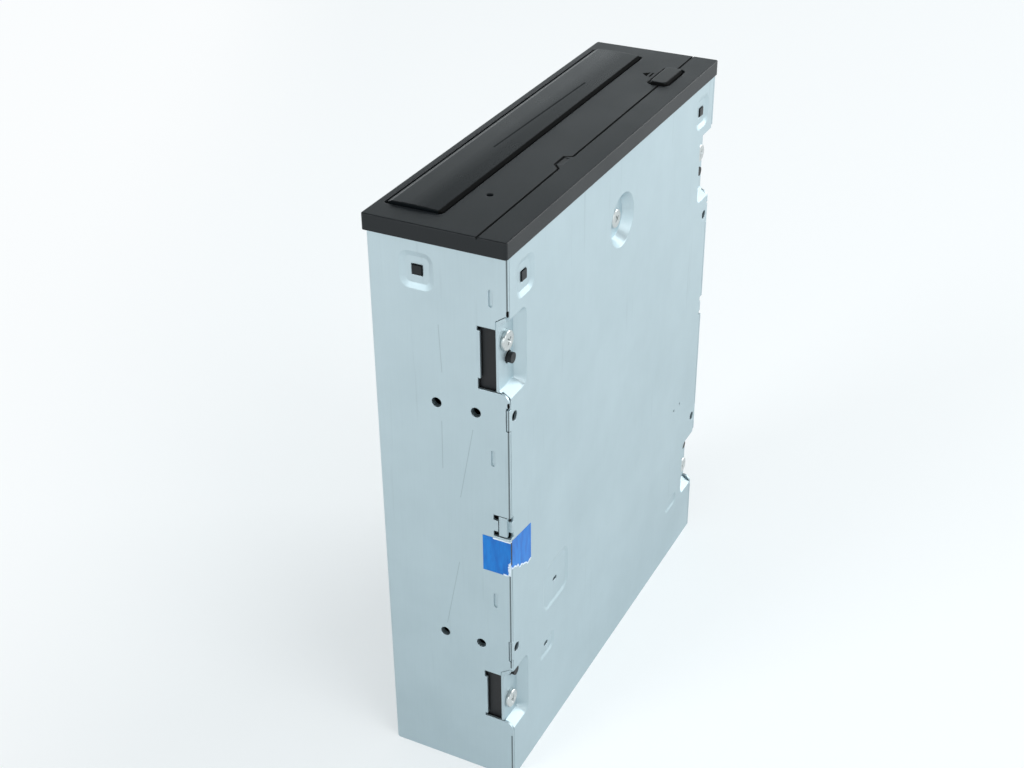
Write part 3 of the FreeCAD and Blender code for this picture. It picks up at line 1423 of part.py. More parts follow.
def disc_tray():
    """Tray with the steps for 120 mm and 80 mm discs, its runners underneath and its rack."""
    body = new_body("disc_tray")
    rear = size.tray_rear
    tray_front = front - size.tray_front_back
    half = size.tray_half_width
    corner = size.tray_corner
    pad(body, "deck", "flat", size.tray_under, size.tray_rim, [
        (-half, rear, corner), (half, rear, corner), (half, tray_front), (-half, tray_front)])
    pad(body, "runners", "flat", size.runner_under, size.tray_under,
        rect(-size.runner_half_width, -size.runner_inner, rear + corner, tray_front - corner),
        rect(size.runner_inner, size.runner_half_width, rear + corner, tray_front - corner))
    pad(body, "front_bar", "flat", size.runner_under, size.tray_under,
        rect(-size.runner_inner, size.runner_inner, tray_front - size.tray_front_bar, tray_front))
    pad(body, "rear_rib", "flat", size.runner_under, size.tray_under,
        rect(size.runner_inner - size.rear_rib_length, size.runner_inner, rear + size.tray_front_bar,
             rear + size.tray_front_bar + size.tray_rib))
    pocket(body, "disc_step", "flat", size.disc_recess_floor, size.tray_rim,
           disc(0, disc_z, size.disc_recess_radius))
    pocket(body, "small_disc_step", "flat", size.small_recess_floor, size.disc_recess_floor,
           disc(0, disc_z, size.small_recess_radius))
    spindle = size.spindle_cutout
    slot = size.cutout_half_width
    pocket(body, "spindle_opening", "flat", size.runner_under, size.tray_rim, disc(0, disc_z, spindle))
    outermost = size.spindle_reach - lens_z_place() + size.sled_travel
    slot_rear = disc_z - outermost - size.lens_holder_half - size.cutout_slip
    pocket(body, "pickup_opening", "flat", size.runner_under, size.tray_rim, [
        (-slot, slot_rear, corner), (slot, slot_rear, corner), (slot, disc_z), (-slot, disc_z)])
    notch = size.finger_notch
    pocket(body, "finger_notches", "flat", size.disc_recess_floor, size.tray_rim,
           rect(-half - 1, -half + size.finger_notch_reach, disc_z - notch, disc_z + notch,
                size.finger_notch_corner),
           rect(half - size.finger_notch_reach, half + 1, disc_z - notch, disc_z + notch,
                size.finger_notch_corner))
    pitch_line = drive_x + pitch_pinion
    tooth_root = pitch_line + size.gear_module * DEDENDUM
    pad(body, "rack_bar", "flat", size.rack_under, size.tray_under,
        rect(tooth_root, tooth_root + size.rack_back, rear + 1, tray_front - corner))
    step = size.gear_module * math.pi
    half_base = step / 4 + size.gear_module * DEDENDUM * math.tan(PRESSURE_ANGLE) - size.gear_backlash / 2
    half_tip = step / 4 - size.gear_module * ADDENDUM * math.tan(PRESSURE_ANGLE) - size.gear_backlash / 2
    behind = int(size.tray_travel.value / step.value) + 1
    first = drive_z - step * (behind + 0.5)
    count = int((tray_front.value - corner.value - first.value - 1) / step.value) + 1
    tooth = pad(body, "rack_tooth", "flat", size.rack_under, size.tray_under, [
        (tooth_root + 0.2, first - half_base),
        (tooth_root, first - half_base),
        (pitch_line - size.gear_module * ADDENDUM, first - half_tip),
        (pitch_line - size.gear_module * ADDENDUM, first + half_tip),
        (tooth_root, first + half_base),
        (tooth_root + 0.2, first + half_base),
    ])
    teeth = body.newObject("PartDesign::LinearPattern", "rack_teeth")
    teeth.Originals = [tooth]
    upright = next(axis for axis in body.Origin.OriginFeatures if axis.Role == "Z_Axis")
    teeth.Direction = (upright, [""])
    teeth.Occurrences = count
    bind(teeth, "Length", step * (count - 1))
    body.Tip = teeth


def cam_slider():
    """Slider with two slanted slots: as it moves across, they lift the pins of the traverse."""
    body = new_body("cam_slider")
    back = size.cam_back
    wall_front = back + size.cam_wall
    left = size.cam_middle - size.cam_half_width - size.cam_end
    right = size.cam_middle + size.cam_half_width + size.cam_end
    pad(body, "wall", "across", back, wall_front,
        rect(left, right, size.cam_low, size.cam_high, size.cam_corner))
    flange_low = size.front_deck_top + size.slip / 2
    pad(body, "flange", "flat", flange_low, flange_low + size.cam_flange_wall,
        rect(left, right, wall_front, wall_front + size.cam_wall + size.cam_flange_reach))
    pad(body, "rack_strip", "flat", size.cam_high - 1, size.wheel_high,
        rect(left, left + size.cam_rack_length, back, wall_front))
    pin_low = size.hinge_level - size.cam_rise
    reach = size.cam_pin + size.cam_slot_slip
    slope = math.atan2(size.cam_rise.value, size.cam_travel.value)
    lean = Vector(-math.sin(slope), math.cos(slope), 0) * reach.value
    along = Vector(math.cos(slope), math.sin(slope), 0) * (reach.value)
    slots = []
    for x in (-size.cam_pin_offset, size.cam_pin_offset):
        x_end = x + size.cam_travel
        y_end = pin_low + size.cam_rise
        slots.append([
            (x - lean.x - along.x, pin_low - lean.y - along.y, reach * 0.9),
            (x_end - lean.x + along.x, y_end - lean.y + along.y, reach * 0.9),
            (x_end + lean.x + along.x, y_end + lean.y + along.y, reach * 0.9),
            (x + lean.x - along.x, pin_low + lean.y - along.y, reach * 0.9),
        ])
    pocket(body, "cam_slots", "across", back, wall_front, *slots)


def lift_frame():
    """Plastic frame of the traverse: hinged at the rear, with two cam pins at the front."""
    outer = box("frame_block", -size.frame_half_width, size.frame_half_width, -size.frame_half_height,
                size.frame_half_height, -size.frame_rear_bar, size.frame_front)
    hollow = box("frame_hollow", -size.frame_opening_half, size.frame_opening_half,
                 -size.frame_half_height * 2, size.frame_half_height * 2, size.frame_rear_bar,
                 size.frame_front - size.frame_front_bar)
    wells = [rod(f"frame_well_{i}", "y", size.bush_bore, x, 0, z, size.frame_half_height * 2)
             for i, (x, z) in enumerate(bush_spots())]
    ring = cut("frame_ring", outer, [hollow, *wells])
    pin_length = size.hinge_lug_inner + size.hinge_lug_wall - size.frame_half_width
    left = rod("hinge_pin_left", "x", size.hinge_pin, -size.frame_half_width - pin_length, 0, 0,
               pin_length + 1)
    right = rod("hinge_pin_right", "x", size.hinge_pin, size.frame_half_width - 1, 0, 0, pin_length + 1)
    cams = [rod(f"cam_pin_{i}", "z", size.cam_pin, x, 0, size.frame_front - 1, size.cam_pin_length + 1)
            for i, x in enumerate((-size.cam_pin_offset, size.cam_pin_offset))]
    keep(hinged(fuse("frame_whole", [ring, left, right, *cams])), "lift_frame")


def bush_spots():
    return [(sign * size.bush_offset, z) for sign in (-1, 1) for z in (size.bush_rear, size.bush_front)]


def damper_bushes():
    bushes = []
    for i, (x, z) in enumerate(bush_spots()):
        sleeve = rod(f"bush_{i}", "y", size.bush_radius, x, size.frame_half_height, z, size.bush_height)
        bore = rod(f"bush_bore_{i}", "y", size.bush_bore, x, size.frame_half_height, z, size.bush_height)
        bushes.append(cut(f"bush_ring_{i}", sleeve, [bore]))
    keep(hinged(group("bush_group", bushes)), "damper_bushes")


def damper_screws():
    plate_top = size.frame_half_height + size.bush_height + size.plate_wall
    screws = []
    for i, (x, z) in enumerate(bush_spots()):
        head = rod(f"damper_head_{i}", "y", size.damper_screw_head, x, plate_top, z, size.damper_screw_flange)
        shank = rod(f"damper_shank_{i}", "y", size.bush_bore - size.shaft_slip, x, 0.2, z, plate_top)
        screws.append(fuse(f"damper_screw_{i}", [head, shank]))
    keep(hinged(group("damper_screw_group", screws)), "damper_screws")


def plate_level():
    return size.frame_half_height + size.bush_height


def traverse_plate():
    """Steel plate with the opening that the pickup runs in and the hole for the spindle motor."""
    body = new_body("traverse_plate")
    low = plate_level()
    high = low + size.plate_wall
    notch_left = size.screw_offset - size.motor_notch_width / 2
    pad(body, "sheet", "flat", low, high,
        rect(-size.plate_half_width, size.plate_half_width, size.plate_rear, size.plate_front,
             size.plate_corner),
        [
            (-size.window_left, size.window_rear, 2),
            (size.window_right, size.window_rear, 2),
            (size.window_right, size.window_front + size.motor_notch),
            (notch_left, size.window_front + size.motor_notch),
            (notch_left, size.window_front),
            (-size.window_left, size.window_front, 2),
        ],
        disc(0, size.spindle_reach, size.spindle_hole),
        *[disc(x, z, size.bush_bore) for x, z in bush_spots()])
    hinged(body)


def spindle_motor():
    """Fixed part of the spindle motor: base, coil core and bearing."""
    low = plate_level()
    z = size.spindle_reach
    base = rod("stator_base", "y", size.stator_base, 0, low - size.stator_base_wall, z,
               size.stator_base_wall)
    core = rod("stator_core", "y", size.stator_core, 0, low - size.stator_base_wall, z,
               size.stator_core_top - low + size.stator_base_wall)
    boss = rod("stator_boss", "y", size.stator_boss, 0,
               low - size.stator_base_wall - size.stator_boss_height, z, size.stator_boss_height)
    bore = rod("stator_bore", "y", size.shaft_radius + size.shaft_slip, 0,
               low - size.stator_base_wall - size.stator_boss_height + 0.6, z, size.rotor_top)
    solid = fuse("stator_solid", [base, core, boss])
    keep(hinged(cut("stator", solid, [bore])), "spindle_motor")


def turntable():
    """Rotor can, disc table and centring hub, turned in one profile about the spindle."""
    body = new_body("turntable")
    table_top = size.rotor_top + size.table_wall
    hub_top = table_top + size.hub_height
    tip = plate_level() - size.stator_base_wall - size.stator_boss_height + 1
    sketch = body.newObject("Sketcher::SketchObject", "turned_profile")
    plane = next(plane for plane in body.Origin.OriginFeatures if plane.Role == "XY_Plane")
    sketch.AttachmentSupport = [(plane, "")]
    sketch.MapMode = "FlatFace"
    bind(sketch, ".AttachmentOffset.Base.z", size.spindle_reach)
    draw_outline(sketch, [
        (0, tip),
        (size.shaft_radius, tip),
        (size.shaft_radius, size.rotor_top - size.rotor_wall),
        (size.rotor_radius - size.rotor_wall, size.rotor_top - size.rotor_wall),
        (size.rotor_radius - size.rotor_wall, size.rotor_low),
        (size.rotor_radius, size.rotor_low),
        (size.rotor_radius, size.rotor_top),
        (size.table_radius, size.rotor_top),
        (size.table_radius, table_top),
        (size.hub_radius, table_top),
        (size.hub_radius, table_top + size.hub_height / 3),
        (size.hub_tip, hub_top),
        (0, hub_top),
    ])
    revolution = body.newObject("PartDesign::Revolution", "turned_rotor")
    revolution.Profile = sketch
    revolution.ReferenceAxis = (sketch, ["V_Axis"])
    revolution.Angle = 360
    hinged(body)


def turntable_ring():
    """Rubber ring on the table, which the disc rests on."""
    table_top = size.rotor_top + size.table_wall
    ring = rod("ring_disc", "y", size.table_radius, 0, table_top, size.spindle_reach, size.ring_wall)
    hole = rod("ring_hole", "y", size.ring_inner, 0, table_top, size.spindle_reach, size.ring_wall)
    keep(hinged(cut("ring_rubber", ring, [hole])), "turntable_ring")


def rod_level():
    return plate_level() + size.plate_wall + size.rod_radius


def guide_rods():
    rods = [rod(f"guide_rod_{i}", "z", size.rod_radius, sign * size.rod_offset, rod_level(), size.rod_rear,
                size.rod_length) for i, sign in enumerate((-1, 1))]
    keep(hinged(group("guide_rod_group", rods)), "guide_rods")


def rod_clips():
    """Saddle clips that hold the ends of the guide rods down on the plate."""
    clips = []
    plate_top = plate_level() + size.plate_wall
    wide = size.rod_radius + size.rod_clip_wall
    spots = [(sign, z) for sign in (-1, 1)
             for z in (size.rod_rear, size.rod_rear + size.rod_length - size.rod_clip_length)]
    for i, (sign, z) in enumerate(spots):
        x = sign * size.rod_offset
        block = box(f"clip_block_{i}", x - wide, x + wide, plate_top, plate_top + 2 * wide,
                    z, z + size.rod_clip_length)
        passage = rod(f"clip_passage_{i}", "z", size.rod_radius, x, rod_level(), z, size.rod_clip_length)
        mouth = box(f"clip_mouth_{i}", x - size.rod_radius, x + size.rod_radius, plate_top, rod_level(),
                    z, z + size.rod_clip_length)
        clips.append(cut(f"rod_clip_{i}", block, [passage, mouth]))
    keep(hinged(group("rod_clip_group", clips)), "rod_clips")


def lead_screw():
    """Lead screw that moves the pickup, its thread drawn as turned rings one pitch apart."""
    length = size.window_front - size.lead_screw_rear
    core = rod("lead_core", "z", size.lead_screw_core, size.screw_offset, size.screw_level,
               size.lead_screw_rear, length + size.sled_motor_length / 2)
    count = int(length.value / sheet.lead_screw_pitch)
    rings = [rod(f"lead_ring_{i}", "z", size.lead_screw_radius, size.screw_offset, size.screw_level,
                 size.lead_screw_rear + size.lead_screw_pitch * i, size.lead_screw_pitch / 2)
             for i in range(count)]
    keep(hinged(fuse("lead_whole", [core, *rings])), "lead_screw")


def sled_motor():
    """Stepper motor at the end of the lead screw, with its mounting tab on the plate."""
    start = size.window_front + size.rail_roof
    can = rod("sled_can", "z", size.sled_motor_radius, size.screw_offset, size.screw_level, start,
              size.sled_motor_length)
    plate_top = plate_level() + size.plate_wall
    tab = box("sled_tab", size.screw_offset, size.plate_half_width - size.bush_radius, plate_top,
              plate_top + size.plate_wall, start, start + size.rod_clip_length)
    bore = rod("sled_bore", "z", size.lead_screw_core + size.shaft_slip, size.screw_offset,
               size.screw_level, start, size.sled_motor_length - 1)
    keep(hinged(cut("sled_motor_whole", fuse("sled_motor_solid", [can, tab]), [bore])), "sled_motor")


def pickup_carriage():
    """Die-cast carriage on both rods, hollow around the lens, with an arm to the lead screw."""
    front_z = size.sled_front
    rear_z = front_z - size.sled_length
    half = size.sled_half_width
    block = box("sled_block", -half, half, size.sled_low, size.sled_high, rear_z, front_z)
    sleeves = []
    bores = []
    for i, sign in enumerate((-1, 1)):
        x = sign * size.rod_offset
        sleeves.append(rod(f"sled_sleeve_{i}", "z", size.sled_sleeve, x, rod_level(), rear_z,
                           size.sled_length))
        bores.append(rod(f"sled_bore_{i}", "z", size.rod_radius + size.hinge_slip, x, rod_level(), rear_z,
                         size.sled_length))
    bridge = box("sled_bridge", -size.rod_offset, size.rod_offset, rod_level() - size.rod_radius * 1.6,
                 rod_level() + size.rod_radius * 1.6, rear_z, front_z)
    lens_z = front_z - size.lens_setback
    room = size.lens_holder_half + size.lens_holder_slip
    well = box("lens_well", -room, room, size.lens_holder_low - size.lens_holder_slip, size.sled_high + 5,
               lens_z - room, lens_z + room)
    rotor_room = rod("rotor_room", "y", size.table_radius + 1.5, 0, size.sled_low - 1, size.spindle_reach,
                     size.sled_high)
    arm_top = size.screw_level + size.sled_hollow * 2
    arm = box("sled_arm", size.rod_offset, size.screw_offset + size.lead_screw_radius + 1,
              size.screw_level + size.lead_screw_radius + size.slip, arm_top + size.lead_screw_radius,
              rear_z + size.sled_length / 3, front_z - size.sled_length / 3)
    solid = fuse("sled_solid", [block, bridge, *sleeves, arm])
    keep(hinged(cut("sled_whole", solid, [*bores, well, rotor_room])), "pickup_carriage")


def lens_z_place():
    return size.sled_front - size.lens_setback


def lens_holder():
    half = size.lens_holder_half
    z = lens_z_place()
    block = box("holder_block", -half, half, size.lens_holder_low, size.lens_holder_high, z - half, z + half)
    seat = rod("holder_seat", "y", size.lens_radius, 0, size.lens_holder_low + 1, z, size.lens_top)
    keep(hinged(cut("holder_whole", block, [seat])), "lens_holder")


def objective_lens():
    body = new_body("objective_lens")
    z = lens_z_place()
    sketch = body.newObject("Sketcher::SketchObject", "lens_profile")
    plane = next(plane for plane in body.Origin.OriginFeatures if plane.Role == "XY_Plane")
    sketch.AttachmentSupport = [(plane, "")]
    sketch.MapMode = "FlatFace"
    bind(sketch, ".AttachmentOffset.Base.z", z)
    shoulder = size.lens_holder_high
    draw_outline(sketch, [
        (0, shoulder - 1.6),
        (size.lens_radius, shoulder - 1.6),
        (size.lens_radius, shoulder),
        (size.lens_radius * 0.75, size.lens_top - 0.25),
        (size.lens_radius * 0.4, size.lens_top),
        (0, size.lens_top),
    ])
    revolution = body.newObject("PartDesign::Revolution", "lens_turned")
    revolution.Profile = sketch
    revolution.ReferenceAxis = (sketch, ["V_Axis"])
    revolution.Angle = 360
    hinged(body)


def clamper_bracket():
    """Steel strip across the tray, bent down at both ends, with a round eye for the clamp."""
    body = new_body("clamper_bracket")
    low = size.bracket_low
    wall = size.bracket_wall
    foot_low = size.chassis_rail_top
    leg = size.bracket_leg
    half_length = size.bracket_half_length
    pad(body, "strip", "across", disc_z - half_length, disc_z + half_length, [
        (-leg - wall, foot_low),
        (-size.bracket_foot, foot_low),
        (-size.bracket_foot, foot_low + wall),
        (-leg, foot_low + wall),
        (-leg, low, 1),
        (leg, low, 1),
        (leg, foot_low + wall),
        (size.bracket_foot, foot_low + wall),
        (size.bracket_foot, foot_low),
        (leg + wall, foot_low),
        (leg + wall, low + wall, 1.8),
        (-leg - wall, low + wall, 1.8),
    ])
    pad(body, "eye", "flat", low, low + wall, disc(0, disc_z, size.bracket_eye))
    pocket(body, "eye_hole", "flat", low, low + wall, disc(0, disc_z, size.puck_neck + size.puck_slip))


def clamp_puck():
    """Plastic clamp that hangs in the bracket's eye and presses a disc on the turntable."""
    body = new_body("clamp_puck")
    sketch = body.newObject("Sketcher::SketchObject", "puck_profile")
    plane = next(plane for plane in body.Origin.OriginFeatures if plane.Role == "XY_Plane")
    sketch.AttachmentSupport = [(plane, "")]
    sketch.MapMode = "FlatFace"
    bind(sketch, ".AttachmentOffset.Base.z", disc_z)
    flange_low = size.bracket_low + size.bracket_wall + size.shaft_slip
    roof = size.puck_low + size.puck_recess_depth
    magnet_top = roof + size.magnet_wall
    draw_outline(sketch, [
        (0, magnet_top),
        (size.magnet_outer, magnet_top),
        (size.magnet_outer, roof),
        (size.puck_recess_radius, roof),
        (size.puck_recess_radius, size.puck_low),
        (size.puck_radius, size.puck_low),
        (size.puck_radius, size.puck_high),
        (size.puck_neck, size.puck_high),
        (size.puck_neck, flange_low),
        (size.puck_flange, flange_low),
        (size.puck_flange, flange_low + size.puck_flange_wall),
        (0, flange_low + size.puck_flange_wall),
    ])
    revolution = body.newObject("PartDesign::Revolution", "puck_turned")
    revolution.Profile = sketch
    revolution.ReferenceAxis = (sketch, ["V_Axis"])
    revolution.Angle = 360


def clamp_magnet():
    low = size.puck_low + size.puck_recess_depth
    ring = rod("magnet_ring", "y", size.magnet_outer, 0, low, disc_z, size.magnet_wall)
    hole = rod("magnet_hole", "y", size.magnet_inner, 0, low, disc_z, size.magnet_wall)
    keep(cut("magnet", ring, [hole]), "clamp_magnet")


def main_board():
    """Main circuit board on the bottom cover, under the rear of the tray."""
    body = new_body("main_board")
    high = size.board_low + size.board_wall
    half = size.board_half_width
    pad(body, "board", "flat", size.board_low, high, rect(-half, half, size.board_rear, size.board_front, 2))
    spots = board_screw_spots()
    pocket(body, "board_holes", "flat", size.board_low, high,
           *[disc(x, z, size.cover_screw_shank + size.slip) for x, z in spots])


def board_screw_spots():
    return [(sign * (size.board_half_width - 8), z) for sign in (-1, 1)
            for z in (size.board_front - 4, size.board_rear + 27.5)]


def board_spacers():
    """Short pillars pressed into the bottom cover, with the screws that hold the board on them."""
    pillars = []
    for i, (x, z) in enumerate(board_screw_spots()):
        pillar = rod(f"pillar_{i}", "y", size.screw_boss, x, floor_inside, z, size.board_low - floor_inside)
        shank = rod(f"pillar_shank_{i}", "y", size.cover_screw_shank, x, size.board_low - 1, z,
                    size.board_wall + 2)
        head = rod(f"pillar_head_{i}", "y", size.screw_boss, x, size.board_low + size.board_wall, z, 1.2)
        pillars.append(fuse(f"pillar_set_{i}", [pillar, shank, head]))
    keep(group("pillar_group", pillars), "board_screws")


def board_chips():
    """Packages on the underside of the board, which face the bottom cover."""
    chips = []
    parts = ((12.0, 40.0, 12.0, 12.0), (-20.0, 34.0, 11.0, 5.0), (-22.0, 50.0, 6.0, 10.0),
             (38.0, 44.0, 7.0, 9.0))
    for i, (x, z, half_x, half_z) in enumerate(parts):
        chips.append(box(f"chip_{i}", x - half_x, x + half_x, size.board_low - size.chip_height,
                         size.board_low, z - half_z, z + half_z))
    keep(group("chip_group", chips), "board_chips")


def board_capacitors():
    cans = []
    high = size.board_low + size.board_wall
    for i, (x, z) in enumerate(((-56.0, 36.0), (-56.0, 46.0), (56.0, 36.0))):
        cans.append(rod(f"capacitor_{i}", "y", size.capacitor_radius, x, high, z, size.capacitor_height))
    keep(group("capacitor_group", cans), "board_capacitors")


def socket(label, middle, length, height, depth, wall, key_width):
    """Open shroud on the board, its mouth towards the rear, with a key slot in its top wall."""
    low = size.board_low + size.board_wall
    rear = size.socket_rear
    block = box(f"{label}_block", middle - length / 2, middle + length / 2, low, low + height, rear,
                rear + depth)
    hollow = box(f"{label}_hollow", middle - length / 2 + wall, middle + length / 2 - wall, low + wall,
                 low + height - wall, rear - 1, rear + depth - wall)
    key = box(f"{label}_key", middle - key_width / 2, middle + key_width / 2, low + height - wall * 1.5,
              low + height + 1, rear - 1, rear + depth - wall * 2)
    keep(cut(f"{label}_shroud", block, [hollow, key]), label)


def pin_header(name, middle, columns, rows, pitch, side, base, reach):
    """Square pins that stand in a socket, in a block of rows and columns."""
    low = size.board_low + size.board_wall
    pins = []
    for column in range(columns):
        for line in range(rows):
            x = middle + (column - (columns - 1) / 2) * pitch
            y = low + base + line * pitch
            pins.append(box(f"{name}_{column}_{line}", x - side / 2, x + side / 2, y - side / 2, y + side / 2,
                            size.socket_rear + 1, reach))
    return pins


def rear_sockets():
    """Data, power, jumper and audio sockets in the order usual on such drives."""
    socket("data_socket", size.data_middle, size.data_length, size.data_height, size.data_depth,
           size.data_wall, 4.5)
    socket("power_socket", size.power_middle, size.power_length, size.power_height, size.power_depth,
           size.power_wall, 12.0)
    low = size.board_low + size.board_wall
    jumper = box("jumper_base", size.jumper_middle - size.pin_pitch * 1.5,
                 size.jumper_middle + size.pin_pitch * 1.5, low, low + size.pin_pitch * 2 + 0.6,
                 size.socket_rear + 6, size.socket_rear + 8.5)
    keep(group("jumper_group", [jumper]), "jumper_block")
    shrouds = []
    for name, middle, ways in (("audio", size.audio_middle, 4), ("digital", size.digital_middle, 2)):
        half = size.pin_pitch * ways / 2 + 1
        block = box(f"{name}_block", middle - half, middle + half, low, low + size.audio_height,
                    size.socket_rear, size.socket_rear + size.audio_depth)
        hollow = box(f"{name}_hollow", middle - half + 0.9, middle + half - 0.9, low + 0.9,
                     low + size.audio_height - 0.9, size.socket_rear - 1,
                     size.socket_rear + size.audio_depth - 1)
        shrouds.append(cut(f"{name}_shroud", block, [hollow]))
    keep(group("audio_group", shrouds), "audio_sockets")
    pins = pin_header("data_pin", size.data_middle, 20, 2, size.pin_pitch, size.pin_side,
                      size.data_height / 2 - size.pin_pitch / 2,
                      size.socket_rear + size.data_depth - size.data_wall)
    pins += pin_header("jumper_pin", size.jumper_middle, 3, 2, size.pin_pitch, size.pin_side,
                       size.pin_pitch / 2, size.socket_rear + 6)
    pins += pin_header("audio_pin", size.audio_middle, 4, 1, size.pin_pitch, size.pin_side,
                       size.audio_height / 2, size.socket_rear + size.audio_depth - 1)
    pins += pin_header("digital_pin", size.digital_middle, 2, 1, size.pin_pitch, size.pin_side,
                       size.audio_height / 2, size.socket_rear + size.audio_depth - 1)
    keep(group("signal_pin_group", pins), "signal_pins")
    power = []
    for i in range(4):
        x = size.power_middle + (i - 1.5) * size.power_pitch
        power.append(rod(f"power_pin_{i}", "z", size.power_pin, x, low + size.power_height / 2,
                         size.socket_rear + 1.5, size.power_depth - size.power_wall - 1.5))
    keep(group("power_pin_group", power), "power_pins")


def front_board():
    back = front - size.front_board_back
    board = box("front_board_sheet", -size.front_board_left, size.front_board_right, -size.front_board_low,
                -size.front_board_high, back, back + size.front_board_wall)
    keep(group("front_board_group", [board]), "front_board")


def eject_switch():
    """Push switch on the front board and the plunger that the button presses."""
    seat = front - size.front_board_back + size.front_board_wall
    x = size.button_middle
    y = -size.button_level
    half = size.switch_side / 2
    block = box("switch_block", x - half, x + half, y - half, y + half, seat, seat + size.switch_height)
    well = rod("switch_well", "z", size.plunger_radius + size.shaft_slip, x, y,
               seat + size.switch_height / 4, size.switch_height)
    keep(cut("switch_body", block, [well]), "eject_switch")
    foot = seat + size.switch_height / 4 + size.button_travel + size.shaft_slip
    tip = seat + size.switch_height + size.button_travel + size.slip
    plunger = rod("plunger", "z", size.plunger_radius, x, y, foot, tip - foot)
    keep(group("plunger_group", [plunger]), "switch_plunger")


def indicator_led():
    seat = front - size.front_board_back + size.front_board_wall
    x = -(size.jog_top_left + size.jog_top_right) / 2
    y = -size.groove_level + size.jog_rise / 2
    half = size.led_side / 2
    led = box("led_block", x - half, x + half, y - half, y + half, seat, seat + size.led_height)
    keep(group("led_group", [led]), "indicator_led")


def bracket_screws():
    screws = []
    for i, sign in enumerate((-1, 1)):
        x = sign * (size.bracket_foot + 1.3)
        screws.append(rod(f"bracket_screw_{i}", "y", 1.1, x, size.chassis_rail_top + size.bracket_wall,
                          disc_z, 0.9))
    keep(group("bracket_screw_group", screws), "bracket_screws")


top_cover()
bottom_cover()
cover_screws()
front_bezel()
tray_door()
eject_button()
led_lens()
seal_label()
loader_chassis()
tray_drive_gear()
pulley_gear()
motor_pulley()
drive_belt()
loading_motor()
disc_tray()
cam_slider()
lift_frame()
damper_bushes()
damper_screws()
traverse_plate()
spindle_motor()
turntable()
turntable_ring()
guide_rods()
rod_clips()
lead_screw()
sled_motor()
pickup_carriage()
lens_holder()
objective_lens()
clamper_bracket()
clamp_puck()
clamp_magnet()
bracket_screws()
main_board()
board_spacers()
board_chips()
board_capacitors()
rear_sockets()
front_board()
eject_switch()
indicator_led()

doc.recompute()

faults = [f"{thing.Label}: {thing.State}" for thing in doc.Objects
          if any(word in thing.State for word in ("Invalid", "Error"))]
faults += [f"{piece.Label}: bad shape"
           for piece in nodes if piece.Shape.isNull() or not piece.Shape.isValid()]
if faults:
    raise RuntimeError("; ".join(faults))

os.makedirs("parts", exist_ok=True)
for piece in nodes:
    piece.Shape.exportStep(os.path.join("parts", f"{piece.Label}.step"))
print(len(nodes), "sub-parts,", sum(len(piece.Shape.Solids) for piece in nodes), "solids")
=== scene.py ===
# %% [markdown]
# # Dressing an internal disc writer
#
# The object is a half-height disc drive that stands on its rear end: two zinc-coated steel covers, a
# charcoal plastic bezel with a tray door and a button, and a whole tray mechanism inside. Its solids
# come from the drawing office at their real size and are never moved. Blender adds what a drawing
# leaves out: the finish of each surface, the drive recess of each screw, the thread of the lead
# screw, the torn seal, the eject mark, and the studio.

# %% Load the frame
import json
import math

import bmesh
import bpy
from mathutils import Matrix, Quaternion, Vector, noise


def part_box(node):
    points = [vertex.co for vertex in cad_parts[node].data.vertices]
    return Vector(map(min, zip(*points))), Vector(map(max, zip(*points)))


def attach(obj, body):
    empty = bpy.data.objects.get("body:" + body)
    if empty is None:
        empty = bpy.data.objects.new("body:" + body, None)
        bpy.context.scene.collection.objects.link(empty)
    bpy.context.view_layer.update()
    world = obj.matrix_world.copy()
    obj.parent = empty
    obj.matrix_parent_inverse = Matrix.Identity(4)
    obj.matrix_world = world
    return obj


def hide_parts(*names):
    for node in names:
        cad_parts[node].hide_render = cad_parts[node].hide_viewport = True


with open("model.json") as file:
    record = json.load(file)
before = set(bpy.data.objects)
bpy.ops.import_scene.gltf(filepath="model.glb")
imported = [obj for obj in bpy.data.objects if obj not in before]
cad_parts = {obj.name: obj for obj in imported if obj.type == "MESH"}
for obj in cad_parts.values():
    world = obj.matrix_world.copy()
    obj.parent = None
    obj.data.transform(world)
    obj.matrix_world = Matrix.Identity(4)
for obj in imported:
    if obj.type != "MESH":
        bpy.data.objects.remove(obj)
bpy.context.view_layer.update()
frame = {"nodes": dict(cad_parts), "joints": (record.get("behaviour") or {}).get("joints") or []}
nodes = frame["nodes"]

# %% [markdown]
# ## Units and small helpers
#
# Everything is in metres, so a size in millimetres is written as a number times MM. Colours are
# written as sRGB hex codes, as they are read off a screen, but a shader works in linear light, so
# one function turns them round. Another adds a node to any tree: the named settings go on the node,
# and each input gets a value or the output of another node. A third shows a mesh as an object.

# %% Millimetres, colours and nodes
MM = 0.001
COLOUR_A = 6
COLOUR_B = 7
MIXED = 2


def linear(code):
    """An sRGB hex colour as linear red, green, blue and alpha."""
    parts = [int(code[i:i + 2], 16) / 255 for i in (0, 2, 4)]
    return (*[c / 12.92 if c <= 0.04045 else ((c + 0.055) / 1.055) ** 2.4 for c in parts], 1.0)


def add(tree, kind, inputs=None, **settings):
    """Adds one node, sets it up, and feeds its inputs with values or other nodes' outputs."""
    node = tree.nodes.new(kind)
    for name, value in settings.items():
        setattr(node, name, value)
    for name, value in (inputs or {}).items():
        if isinstance(value, bpy.types.NodeSocket):
            tree.links.new(value, node.inputs[name])
        else:
            node.inputs[name].default_value = value
    return node


def show(name, mesh):
    """Puts a mesh into the scene as an object at the origin."""
    piece = bpy.data.objects.new(name, mesh)
    bpy.context.scene.collection.objects.link(piece)
    return piece


# %% [markdown]
# ## The camera
#
# The photograph looks down on the drive from its left, a little over half a metre away, so the
# verticals lean in towards the bottom. The lens and the place come from matching the corners of the
# case and its screw holes, whose real distances are known from the bay standard. The camera is
# aimed at a point inside the case and then rolled by half a degree.

